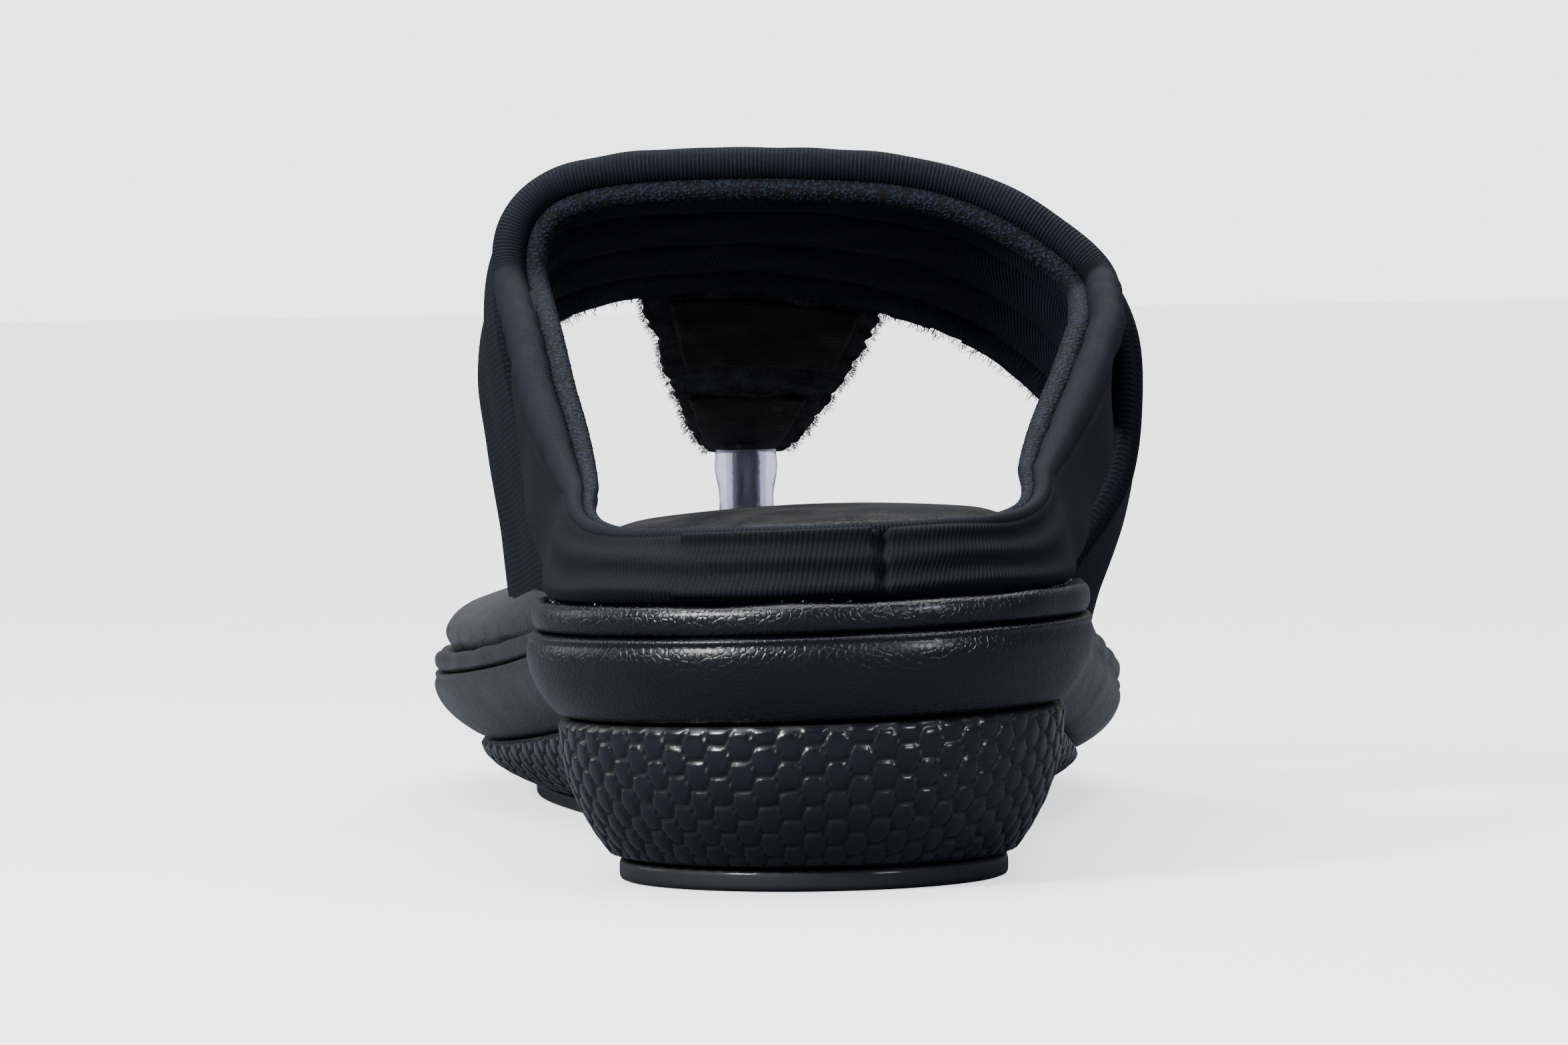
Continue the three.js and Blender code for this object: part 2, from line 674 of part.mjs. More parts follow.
function slingElastic() {
  return slingLayer(SLING, 0.75, ELASTIC_DEPTH, SLING_ELASTIC_THICKNESS);
}

function slingLining() {
  return slingLayer(SLING, 1, SLING_LINING_DEPTH, SLING_LINING_THICKNESS);
}

// Patch over the outside of the heel, from the back seam towards the medial side
function backPatch() {
  const steps = 6;
  const run = Array.from({ length: steps + 1 }, (_, i) => (
    slingStationAt(SLING_SEAM_X - BACK_PATCH_WIDTH * (1 - i / steps))
  ));
  return slingLayer(run, 0.96, -GAP - BACK_PATCH_THICKNESS, BACK_PATCH_THICKNESS);
}

// ---------------------------------------------------------------- toe post

const WASHER_TOP_Z = midsoleTop(POST_X, POST_Y) - 2 * GAP;
const WASHER_FOOT_Z = WASHER_TOP_Z - WASHER_THICKNESS;

function washerPocket() {
  const zTo = midsoleTop(POST_X, POST_Y) + 4;
  return bar(POST_X, POST_Y, WASHER_FOOT_Z - GAP, zTo, WASHER_RADIUS + GAP);
}

function postHole() {
  return bar(POST_X, POST_Y, WASHER_FOOT_Z, POST_TOP_Z, POST_RADIUS + GAP);
}

function toePostWasher() {
  const hole = bar(POST_X, POST_Y, WASHER_FOOT_Z - 1, WASHER_TOP_Z + 1, POST_CORE_RADIUS + GAP);
  return cut(bar(POST_X, POST_Y, WASHER_FOOT_Z, WASHER_TOP_Z, WASHER_RADIUS), [hole]);
}

// Bar long enough to reach the tongue, trimmed where the tongue's underside lies on it
function postBar(zFrom, radius) {
  return bar(POST_X, POST_Y, zFrom, POST_TOP_Z + radius, radius);
}

function toePostCore() {
  return cut(postBar(WASHER_FOOT_Z, POST_CORE_RADIUS), [tongueRoom()]);
}

function toePostSleeve() {
  const foot = WASHER_TOP_Z + GAP;
  const hole = bar(POST_X, POST_Y, foot - 1, POST_TOP_Z + 2 * POST_RADIUS, POST_CORE_RADIUS + GAP);
  return cut(postBar(foot, POST_RADIUS), [hole, tongueRoom()]);
}

// ---------------------------------------------------------------- materials and assembly

const finish = (color, roughness, metalness = 0) => new THREE.MeshStandardMaterial({ color, roughness, metalness });
const GRIP_RUBBER = finish(0x262b35, 0.45);
const TREAD_RUBBER = finish(0x1a1d22, 0.7);
const SOLE_LEATHER = finish(0x2b2f36, 0.5);
const FIBREBOARD = finish(0x8c7a5c, 0.9);
const PAD_FOAM = finish(0x4a4c50, 0.95);
const KNIT = finish(0x12161f, 0.85);
const LINING = finish(0x181d28, 0.8);
const FELT = finish(0x3c3c40, 0.95);
const TAPE = finish(0x0c0d10, 0.6);
const ELASTIC = finish(0x15171b, 0.8);
const CLEAR_TPU = finish(0xb9b8c8, 0.15);
const POST_WEBBING = finish(0x2a2840, 0.7);
const NYLON = finish(0x202226, 0.5);

const flipFlop = new THREE.Group();

function add(parent, name, geometry, material) {
  const mesh = new THREE.Mesh(geometry, material);
  mesh.name = name;
  parent.add(mesh);
}

const soleGroup = new THREE.Group();
const footbedCutters = [bandRoom(2 * GAP), postHole()];
add(soleGroup, 'tread', tread(), TREAD_RUBBER);
add(soleGroup, 'outsole', outsole(), GRIP_RUBBER);
add(soleGroup, 'midsole', midsole(washerPocket()), SOLE_LEATHER);
add(soleGroup, 'rim', rim(), SOLE_LEATHER);
add(soleGroup, 'insole_board', insoleBoard(postHole()), FIBREBOARD);
add(soleGroup, 'footbed_foam', footbedFoam(footbedCutters), PAD_FOAM);
add(soleGroup, 'footbed_cover', footbedCover(footbedCutters), SOLE_LEATHER);
flipFlop.add(soleGroup);

const postGroup = new THREE.Group();
add(postGroup, 'toe_post_washer', toePostWasher(), NYLON);
add(postGroup, 'toe_post_core', toePostCore(), POST_WEBBING);
add(postGroup, 'toe_post_sleeve', toePostSleeve(), CLEAR_TPU);
flipFlop.add(postGroup);

const bandGroup = new THREE.Group();
const foamDepth = SHELL_THICKNESS + GAP;
const liningDepth = foamDepth + BAND_FOAM_THICKNESS + GAP;
const liningRollDepth = 2 * COLLAR_ROLL_RADIUS + GAP + LINING_ROLL_RADIUS;
add(bandGroup, 'band_shell', bandLayer(0, SHELL_THICKNESS, 0), KNIT);
add(bandGroup, 'band_foam', bandLayer(foamDepth, BAND_FOAM_THICKNESS, 0.04), PAD_FOAM);
add(bandGroup, 'band_lining', bandLayer(liningDepth, LINING_THICKNESS, 0), LINING);
add(bandGroup, 'collar_roll', collarRoll(COLLAR_ROLL_RADIUS, COLLAR_ROLL_RADIUS), KNIT);
add(bandGroup, 'lining_roll', collarRoll(LINING_ROLL_RADIUS, liningRollDepth), LINING);
flipFlop.add(bandGroup);

const tongueGroup = new THREE.Group();
add(tongueGroup, 'tongue_shell', sheet(tongueGrid(-1, 1, 0, 1), 0, TONGUE_THICKNESS), KNIT);
add(tongueGroup, 'tongue_felt', sheet(tongueGrid(-1, 1, 0, 0.9), FELT_DEPTH, FELT_DEPTH + FELT_THICKNESS), FELT);
add(tongueGroup, 'tongue_tape_upper', tongueTape(-0.75, 0.7, 0.06, 0.3), TAPE);
add(tongueGroup, 'tongue_tape_lower', tongueTape(-0.9, 0.55, 0.5, 0.74), TAPE);
flipFlop.add(tongueGroup);

const slingGroup = new THREE.Group();
add(slingGroup, 'sling_sleeve_medial', slingSleeve(MEDIAL), KNIT);
add(slingGroup, 'sling_sleeve_lateral', slingSleeve(LATERAL), KNIT);
add(slingGroup, 'sling_elastic', slingElastic(), ELASTIC);
add(slingGroup, 'sling_lining', slingLining(), LINING);
add(slingGroup, 'back_patch', backPatch(), KNIT);
flipFlop.add(slingGroup);

export default flipFlop;
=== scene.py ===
"""Looks of a slingback flip flop: moulded sole, padded footbed, quilted instep band, tongue and heel sling.

Sizes are in millimetres, with +Y towards the toes, +X towards the little toe and +Z up.
"""

import logging
import math
from dataclasses import dataclass
from enum import Enum
from typing import Callable, Optional, Union

import bpy
import numpy as np
from mathutils import Matrix, Vector


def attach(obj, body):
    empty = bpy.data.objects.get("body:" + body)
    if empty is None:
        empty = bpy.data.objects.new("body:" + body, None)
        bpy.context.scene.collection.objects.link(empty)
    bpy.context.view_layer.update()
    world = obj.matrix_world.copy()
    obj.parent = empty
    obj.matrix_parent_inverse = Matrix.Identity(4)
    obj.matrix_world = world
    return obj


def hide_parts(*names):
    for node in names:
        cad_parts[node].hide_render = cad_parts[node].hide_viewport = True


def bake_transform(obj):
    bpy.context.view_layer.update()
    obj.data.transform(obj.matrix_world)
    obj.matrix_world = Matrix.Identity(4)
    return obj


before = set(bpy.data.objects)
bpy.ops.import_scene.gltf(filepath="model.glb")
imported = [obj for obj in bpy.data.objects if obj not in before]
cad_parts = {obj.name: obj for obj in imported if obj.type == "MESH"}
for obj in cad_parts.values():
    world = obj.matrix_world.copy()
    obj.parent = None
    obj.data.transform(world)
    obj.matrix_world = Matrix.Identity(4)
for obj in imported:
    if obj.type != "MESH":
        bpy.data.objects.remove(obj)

Array = np.ndarray
Number = Union[float, Array]
Spot = tuple[float, float, float]
Pair = tuple[float, float]
MM = 0.001
WAVE_PERIOD = 0.314  # of Blender's wave texture at scale 1
CLOTH_FRAMES = 20  # how long cloth is blown up
LOG = logging.getLogger("flip_flop")


# ---------------------------------------------------------------- small maths


def ease(t: Number) -> Number:
    """Smooth step from 0 to 1 with level ends: t squared times three minus two t."""
    c = np.clip(t, 0.0, 1.0)
    return c * c * (3.0 - 2.0 * c)


def mix(a: Number, b: Number, t: Number) -> Number:
    """Straight blend from a to b by the share t."""
    return a + (b - a) * t


def unit(vectors: Array) -> Array:
    """The vectors scaled to length one, along the last axis."""
    length = np.linalg.norm(vectors, axis=-1, keepdims=True)
    return vectors / np.maximum(length, 1e-9)


def ripple(points: Array, wave: float, seed: int, terms: int = 7) -> Array:
    """Smooth seeded unevenness, the mean of plane sine waves in many directions.

    Args:
        points: array of points in mm, with x, y and z on the last axis.
        wave: typical wavelength in mm.
        seed: picks the directions and phases.
        terms: how many waves are added.

    Returns:
        Values from about -1 to 1, one for each point.
    """
    rng = np.random.default_rng(seed)
    directions = unit(rng.normal(size=(terms, 3))) * rng.uniform(0.6, 1.6, (terms, 1)) / wave
    phases = rng.uniform(0, 2 * math.pi, terms)
    waves = np.sin(2 * math.pi * points @ directions.T + phases)
    return waves.sum(axis=-1) / math.sqrt(terms)


def through(points: Array, count: int) -> Array:
    """Centripetal Catmull-Rom curve through points, count steps spread evenly by point index.

    Between two points it is the cubic whose end slopes come from the neighbours, weighted by
    the fourth root of the squared distances.

    Args:
        points: K points in order, as a (K, 3) array.
        count: number of steps, giving count + 1 points.

    Returns:
        Array of shape (count + 1, 3).
    """
    first = 2 * points[0] - points[1]
    last = 2 * points[-1] - points[-2]
    p = np.vstack([first, points, last])
    gaps = np.maximum((np.diff(p, axis=0) ** 2).sum(1) ** 0.25, 1e-4)[:, None]
    at = np.linspace(0, len(points) - 1, count + 1)
    i = np.minimum(at.astype(int), len(points) - 2)
    t = (at - i)[:, None]
    x0, x1, x2, x3 = p[i], p[i + 1], p[i + 2], p[i + 3]
    d0, d1, d2 = gaps[i], gaps[i + 1], gaps[i + 2]
    m1 = ((x1 - x0) / d0 - (x2 - x0) / (d0 + d1) + (x2 - x1) / d1) * d1
    m2 = ((x2 - x1) / d1 - (x3 - x1) / (d1 + d2) + (x3 - x2) / d2) * d1
    cubic = 2 * x1 - 2 * x2 + m1 + m2
    square = -3 * x1 + 3 * x2 - 2 * m1 - m2
    return ((cubic * t + square) * t + m1) * t + x1


def evenly(path: Array, count: int, closed: bool = False) -> Array:
    """The path sampled again at equal steps of its length.

    Args:
        path: points along the path.
        count: number of points wanted.
        closed: whether the last point joins the first one.

    Returns:
        Array of count points, without the repeated first point on a closed path.
    """
    line = np.vstack([path, path[:1]]) if closed else path
    length = np.concatenate([[0], np.cumsum(np.linalg.norm(np.diff(line, axis=0), axis=1))])
    at = np.linspace(0, length[-1], count + 1)[:-1] if closed else np.linspace(0, length[-1], count)
    return np.stack([np.interp(at, length, line[:, k]) for k in range(3)], axis=1)


def smoothed(values: Array, rounds: int) -> Array:
    """A closed run of values, averaged again and again: half of each plus a quarter of both neighbours."""
    out = values.copy()
    for _ in range(rounds):
        out = 0.5 * out + 0.25 * (np.roll(out, 1, axis=0) + np.roll(out, -1, axis=0))
    return out


def grid_normals(grid: Array, centre: Spot) -> Array:
    """Unit normals of a grid of points, the cross product of its two directions, facing away from centre."""
    along = np.gradient(grid, axis=0)
    across = np.gradient(grid, axis=1)
    normals = unit(np.cross(along, across))
    away = (normals * (grid - np.array(centre))).sum()
    return normals if away > 0 else -normals


def run_lengths(grid: Array, axis: int) -> Array:
    """Length run along one axis of a grid of points, in mm, starting at zero."""
    steps = np.linalg.norm(np.diff(grid, axis=axis), axis=2)
    start = np.zeros_like(np.take(steps, [0], axis=axis))
    return np.concatenate([start, np.cumsum(steps, axis=axis)], axis=axis)


# ---------------------------------------------------------------- meshes from arrays


def piece(
    name: str,
    points: Array,
    triangles: Array,
    uv: Optional[Array] = None,
    relief: Optional[Array] = None,
) -> bpy.types.Object:
    """A closed, smooth-shaded mesh object at the origin, from arrays.

    Points that lie within a hundredth of a millimetre are welded, triangles without area are
    dropped, and the faces are turned outwards by the sign of the enclosed volume.

    Args:
        name: name of the piece.
        points: (N, 3) points in mm.
        triangles: (M, 3) indices into points.
        uv: (N, 2) lengths along the surface in mm, kept in metres as the UV map.
        relief: (N,) values kept as the attribute "relief".

    Returns:
        The new object, linked to the scene.
    """
    keys = np.round(points * 100).astype(np.int64)
    _, first, where = np.unique(keys, axis=0, return_index=True, return_inverse=True)
    where = where.reshape(-1)
    welded = where[triangles]
    keep = (
        (welded[:, 0] != welded[:, 1]) & (welded[:, 1] != welded[:, 2]) & (welded[:, 2] != welded[:, 0])
    )
    welded = welded[keep]
    loose = triangles[keep]
    spots = points[first]
    a, b, c = spots[welded[:, 0]], spots[welded[:, 1]], spots[welded[:, 2]]
    if (a * np.cross(b, c)).sum() < 0:
        welded = welded[:, ::-1]
        loose = loose[:, ::-1]
    mesh = bpy.data.meshes.new(name)
    mesh.vertices.add(len(spots))
    mesh.vertices.foreach_set("co", (spots * MM).astype(np.float32).ravel())
    mesh.loops.add(welded.size)
    mesh.loops.foreach_set("vertex_index", welded.astype(np.int32).ravel())
    mesh.polygons.add(len(welded))
    mesh.polygons.foreach_set("loop_start", np.arange(0, welded.size, 3, dtype=np.int32))
    mesh.polygons.foreach_set("use_smooth", np.ones(len(welded), bool))
    mesh.update(calc_edges=True)
    if uv is not None:
        layer = mesh.uv_layers.new(name="surface")
        layer.data.foreach_set("uv", (uv[loose.ravel()] * MM).astype(np.float32).ravel())
    if relief is not None:
        attribute = mesh.attributes.new("relief", "FLOAT", "POINT")
        attribute.data.foreach_set("value", relief[first].astype(np.float32))
    mesh.validate()
    obj = bpy.data.objects.new(name, mesh)
    bpy.context.scene.collection.objects.link(obj)
    return obj


def quads(rows: int, columns: int) -> Array:
    """Triangles over a grid of rows by columns points, two for each of its cells."""
    index = np.arange(rows * columns).reshape(rows, columns)
    a, b = index[:-1, :-1].ravel(), index[:-1, 1:].ravel()
    c, d = index[1:, 1:].ravel(), index[1:, :-1].ravel()
    return np.vstack([np.stack([a, b, c], 1), np.stack([a, c, d], 1)])


def from_grid(name: str, grid: Array, relief: Optional[Array] = None) -> bpy.types.Object:
    """A piece from a grid that closes on itself once equal points are welded.

    Args:
        name: name of the piece.
        grid: (rows, columns, 3) points in mm.
        relief: values of the attribute "relief", one for each grid point.

    Returns:
        The new object, its UV map holding the lengths run along columns and rows.
    """
    rows, columns = grid.shape[:2]
    widest = np.argmax(np.linalg.norm(np.diff(grid, axis=1), axis=2).sum(1))
    around = np.broadcast_to(run_lengths(grid, 1)[widest], (rows, columns))
    uv = np.stack([around, run_lengths(grid, 0)], axis=2)
    flat = None if relief is None else relief.ravel()
    return piece(name, grid.reshape(-1, 3), quads(rows, columns), uv.reshape(-1, 2), flat)


def pad_of(
    name: str,
    grid: Array,
    centre: Spot,
    depth: Number,
    thickness: Number,
    rim: float,
    relief: Number = 0.0,
) -> bpy.types.Object:
    """A sheet or pad with rounded edges, laid under an outer face.

    Both of its faces follow the outer face's normals. Half the thickness is scaled by the
    quarter circle of the distance to the nearest edge, so the faces meet in a round edge.

    Args:
        name: name of the piece.
        grid: (rows, columns, 3) outer face in mm.
        centre: a point on the inner side of the face.
        depth: distance of the pad's outer side under the face.
        thickness: distance between the pad's two sides.
        rim: width of the rounded edge.
        relief: how far both sides are lifted outwards.

    Returns:
        The new object.
    """
    normals = grid_normals(grid, centre)
    across, along = run_lengths(grid, 1), run_lengths(grid, 0)
    edge = np.minimum.reduce([across, across[:, -1:] - across, along, along[-1:] - along])
    inner = 1 - np.clip(edge / rim, 0, 1)
    half = np.asarray(thickness) / 2 * np.sqrt(np.maximum(0, 1 - inner**2))
    middle = depth + np.asarray(thickness) / 2 - relief
    outer_side = grid - normals * (middle - half)[..., None]
    inner_side = grid - normals * (middle + half)[..., None]
    rows, columns = grid.shape[:2]
    faces = quads(rows, columns)
    uv = np.stack([across, along], axis=2).reshape(-1, 2)
    points = np.vstack([outer_side.reshape(-1, 3), inner_side.reshape(-1, 3)])
    both = np.vstack([faces, faces[:, ::-1] + rows * columns])
    lifted = np.broadcast_to(np.asarray(relief, float), (rows, columns)).ravel()
    return piece(name, points, both, np.vstack([uv, uv]), np.concatenate([lifted, lifted]))


def tube_of(
    name: str, path: Array, radius: Array, centre: Array, sides: int, swell: Optional[Array] = None
) -> bpy.types.Object:
    """A closed loop of tube, circles carried along a closed path.

    Each circle stands in the plane of the direction towards centre and the cross product of
    that with the path's direction, so the tube does not twist.

    Args:
        name: name of the piece.
        path: (N, 3) points of the closed path, in mm.
        radius: (N,) radius at each point.
        centre: point inside the loop that the circles start from.
        sides: points around the tube.
        swell: (N, sides) share of the radius that is added.

    Returns:
        The new object, its UV map holding lengths along and around the tube.
    """
    forward = unit(np.roll(path, -1, axis=0) - np.roll(path, 1, axis=0))
    towards = centre - path
    towards = unit(towards - (towards * forward).sum(1, keepdims=True) * forward)
    third = np.cross(forward, towards)
    angle = np.linspace(0, 2 * math.pi, sides, endpoint=False)
    circle = towards[:, None] * np.cos(angle)[:, None] + third[:, None] * np.sin(angle)[:, None]
    size = radius[:, None] * (1 if swell is None else 1 + swell)
    grid = path[:, None] + circle * size[..., None]
    grid = np.concatenate([grid, grid[:1]], axis=0)
    grid = np.concatenate([grid, grid[:, :1]], axis=1)
    return from_grid(name, grid.transpose(1, 0, 2))


def fibres(name: str, roots: Array, tips: Array, bow: Array, radius: float) -> bpy.types.Object:
    """Loose fibres, each a tapered three-sided tube on a bowed line from root to tip.

    The line is the straight one plus bow times four t times one minus t.

    Args:
        name: name of the piece.
        roots: (N, 3) points where the fibres start, in mm.
        tips: (N, 3) points where they end.
        bow: (N, 3) sideways bow at the middle.
        radius: radius at the root.

    Returns:
        The new object.
    """
    share = np.linspace(0, 1, 5)[None, :, None]
    line = roots[:, None] + (tips - roots)[:, None] * share + bow[:, None] * 4 * share * (1 - share)
    forward = unit(tips - roots)
    side = unit(np.cross(forward, np.array([0.31, 0.77, 0.56])))
    third = np.cross(forward, side)
    angle = np.arange(4) * 2 * math.pi / 3
    circle = side[:, None] * np.cos(angle)[None, :, None] + third[:, None] * np.sin(angle)[None, :, None]
    width = radius * np.array([0.0, 1.0, 0.85, 0.6, 0.0])[None, :, None, None]
    grid = line[:, :, None] + circle[:, None] * width
    count, steps, around = grid.shape[:3]
    one = quads(steps, around)
    triangles = (one[None] + np.arange(count)[:, None, None] * steps * around).reshape(-1, 3)
    return piece(name, grid.reshape(-1, 3), triangles)


def specks(name: str, centres: Array, radii: Array) -> bpy.types.Object:
    """Small eight-sided crumbs, one at each centre, each with its own radius."""
    corners = np.array([[1, 0, 0], [-1, 0, 0], [0, 1, 0], [0, -1, 0], [0, 0, 1], [0, 0, -1]], float)
    faces = np.array(
        [[0, 2, 4], [2, 1, 4], [1, 3, 4], [3, 0, 4], [2, 0, 5], [1, 2, 5], [3, 1, 5], [0, 3, 5]]
    )
    points = centres[:, None] + corners[None] * radii[:, None, None]
    triangles = (faces[None] + np.arange(len(centres))[:, None, None] * 6).reshape(-1, 3)
    return piece(name, points.reshape(-1, 3), triangles)


def puffed(
    obj: bpy.types.Object, voxel: float, pressure: float, cap: float, held: Callable[[Array], Array]
) -> None:
    """Fills a closed piece like a pillow: remesh, pressed-up cloth, capped, then one subdivision.

    The remeshed points are pulled back onto the piece as drawn, so that no steps stay in it.

    Args:
        obj: the piece, whose mesh is replaced.
        voxel: remesh size in mm.
        pressure: air pressure of the cloth.
        cap: furthest that any point may move, in mm.
        held: gives for points in mm the share, 0 to 1, that each is held in place.
    """
    drawn = obj.copy()
    scene = bpy.context.scene
    scene.collection.objects.link(drawn)
    remesh = obj.modifiers.new("remesh", "REMESH")
    remesh.mode = "VOXEL"
    remesh.voxel_size = voxel * MM
    remesh.use_smooth_shade = True
    even = obj.modifiers.new("even", "SMOOTH")
    even.iterations = 3
    hug = obj.modifiers.new("hug", "SHRINKWRAP")
    hug.target = drawn
    settle(obj)
    bpy.data.objects.remove(drawn)
    mesh = obj.data
    start = np.empty(len(mesh.vertices) * 3, np.float32)
    mesh.vertices.foreach_get("co", start)
    start = start.reshape(-1, 3).astype(float)
    group = obj.vertex_groups.new(name="held")
    weights = np.round(held(start / MM), 1)
    for value in np.unique(weights):
        group.add(np.flatnonzero(weights == value).tolist(), float(value), "REPLACE")
    cloth = obj.modifiers.new("cloth", "CLOTH")
    cloth.settings.vertex_group_mass = "held"
    cloth.settings.use_pressure = True
    cloth.settings.uniform_pressure_force = pressure
    cloth.settings.effector_weights.gravity = 0
    cloth.settings.quality = 6
    cloth.settings.mass = 0.3
    cloth.settings.tension_stiffness = 15
    cloth.settings.compression_stiffness = 15
    cloth.settings.bending_stiffness = 0.5
    for number in range(1, CLOTH_FRAMES + 1):
        scene.frame_set(number)
    settle(obj)
    scene.frame_set(1)
    moved = np.empty(len(obj.data.vertices) * 3, np.float32)
    obj.data.vertices.foreach_get("co", moved)
    shift = moved.reshape(-1, 3).astype(float) - start
    length = np.linalg.norm(shift, axis=1, keepdims=True)
    shift *= np.minimum(1, cap * MM / np.maximum(length, 1e-12))
    obj.data.vertices.foreach_set("co", (start + shift).astype(np.float32).ravel())
    obj.data.update()
    obj.vertex_groups.clear()
    finer = obj.modifiers.new("finer", "SUBSURF")
    finer.levels = 1
    finer.render_levels = 1
    settle(obj)


def settle(obj: bpy.types.Object) -> None:
    """Applies all the modifiers of a piece to its mesh."""
    bpy.context.view_layer.update()
    graph = bpy.context.evaluated_depsgraph_get()
    made = bpy.data.meshes.new_from_object(obj.evaluated_get(graph))
    obj.modifiers.clear()
    made.name = obj.name
    obj.data = made
    made.polygons.foreach_set("use_smooth", np.ones(len(made.polygons), bool))


# ---------------------------------------------------------------- finishes


def linear(code: str) -> tuple[float, float, float, float]:
    """The linear colour of an sRGB hex code."""
    parts = [int(code[i : i + 2], 16) / 255 for i in (1, 3, 5)]
    curve = [c / 12.92 if c <= 0.04045 else ((c + 0.055) / 1.055) ** 2.4 for c in parts]
    return (*curve, 1.0)


def add(tree: bpy.types.NodeTree, kind: str, settings: dict, inputs: dict) -> bpy.types.Node:
    """Adds a node to a tree.

    Args:
        tree: the material's node tree.
        kind: the node's type without its ShaderNode prefix.
        settings: attributes to set on the node.
        inputs: by input name or number, a value to set or a socket to link.

    Returns:
        The new node.
    """
    node = tree.nodes.new("ShaderNode" + kind)
    for name, value in settings.items():
        setattr(node, name, value)
    for name, value in inputs.items():
        if isinstance(value, bpy.types.NodeSocket):
            tree.links.new(value, node.inputs[name])
        else:
            node.inputs[name].default_value = value
    return node


def blank(name: str) -> bpy.types.Material:
    """A new material with an empty node tree."""
    material = bpy.data.materials.new(name)
    material.use_nodes = True
    material.node_tree.nodes.clear()
    return material


def finished(
    material: bpy.types.Material,
    colour: Union[bpy.types.NodeSocket, tuple[float, float, float, float]],
    roughness: Union[bpy.types.NodeSocket, float],
    height: Optional[bpy.types.NodeSocket],
    depth: float,
    strength: float,
    **constants: object,
) -> bpy.types.Material:
    """Joins a colour, a roughness and a height into the material's surface.

    Args:
        material: material whose tree holds the sockets.
        colour: base colour, linked or constant.
        roughness: roughness, linked or constant.
        height: height from 0 to 1 for the bump, or None.
        depth: real depth of the bump in mm.
        strength: strength of the bump.
        **constants: other inputs of the shader by name, with _ for a space.

    Returns:
        The same material.
    """
    tree = material.node_tree
    inputs = {"Base Color": colour, "Roughness": roughness}
    inputs.update({name.replace("_", " "): value for name, value in constants.items()})
    if height is not None:
        bump = add(tree, "Bump", {}, {"Strength": strength, "Distance": depth * MM, "Height": height})
        inputs["Normal"] = bump.outputs["Normal"]
    shader = add(tree, "BsdfPrincipled", {}, inputs)
    add(tree, "OutputMaterial", {}, {"Surface": shader.outputs["BSDF"]})
    return material


@dataclass(frozen=True)
class MouldedLeatherLook:
    """Satin polyurethane skin with a pressed leather grain: soft highlights broken by fine pores."""

    name: str
    heel_colour: str
    heel_light: str
    fore_painted_light: str
    grain: float = 0.42
    roughness: float = 0.4
    depth: float = 0.08

    def material(self) -> bpy.types.Material:
        """Grain cells and pores as bump, and a colour that turns from heel to forefoot, painted lighter there
        as the front light falling on it.
        """
        m = blank(self.name)
        t = m.node_tree
        at = add(t, "TexCoord", {}, {}).outputs["Object"]
        place = add(t, "SeparateXYZ", {}, {0: at})
        fore = add(
            t,
            "MapRange",
            {"interpolation_type": "SMOOTHSTEP"},
            {"Value": place.outputs["Y"], "From Min": 0.05, "From Max": 0.125},
        )
        cloudy = add(t, "TexNoise", {}, {"Vector": at, "Scale": 1 / (9 * MM), "Detail": 3.0})
        cell_scale = 1 / (self.grain * 2 * MM)
        cells = add(t, "TexVoronoi", {"feature": "DISTANCE_TO_EDGE"}, {"Vector": at, "Scale": cell_scale})
        wall = add(t, "MapRange", {}, {"Value": cells.outputs["Distance"], "From Max": 0.18})
        fine_inputs = {"Vector": at, "Scale": 1 / (self.grain * MM), "Detail": 4.0, "Roughness": 0.7}
        fine = add(t, "TexNoise", {}, fine_inputs)
        height = add(
            t,
            "Math",
            {"operation": "MULTIPLY_ADD"},
            {0: fine.outputs["Fac"], 1: 0.9, 2: wall.outputs["Result"]},
        )
        heel = add(
            t,
            "Mix",
            {"data_type": "RGBA"},
            {0: cloudy.outputs["Fac"], 6: linear(self.heel_colour), 7: linear(self.heel_light)},
        )
        # Painted light: the forefoot's lighter grey stands for the stronger front light falling on it.
        both = add(
            t,
            "Mix",
            {"data_type": "RGBA"},
            {0: fore.outputs["Result"], 6: heel.outputs[2], 7: linear(self.fore_painted_light)},
        )
        pores = add(
            t,
            "MapRange",
            {},
            {"Value": fine.outputs["Fac"], "From Min": 0.3, "From Max": 0.65, "To Min": 0.62},
        )
        shade = add(
            t,
            "Mix",
            {"data_type": "RGBA", "blend_type": "MULTIPLY"},
            {0: 1.0, 6: both.outputs[2], 7: pores.outputs["Result"]},
        )
        rough = add(
            t,
            "MapRange",
            {},
            {
                "Value": cloudy.outputs["Fac"],
                "From Min": 0.3,
                "From Max": 0.7,
                "To Min": self.roughness - 0.06,
                "To Max": self.roughness + 0.1,
            },
        )
        return finished(
            m, shade.outputs[2], rough.outputs["Result"], height.outputs[0], self.depth, 0.55,
            IOR=1.5, Specular_IOR_Level=0.45, Coat_Weight=0.25, Coat_Roughness=0.22,
        )


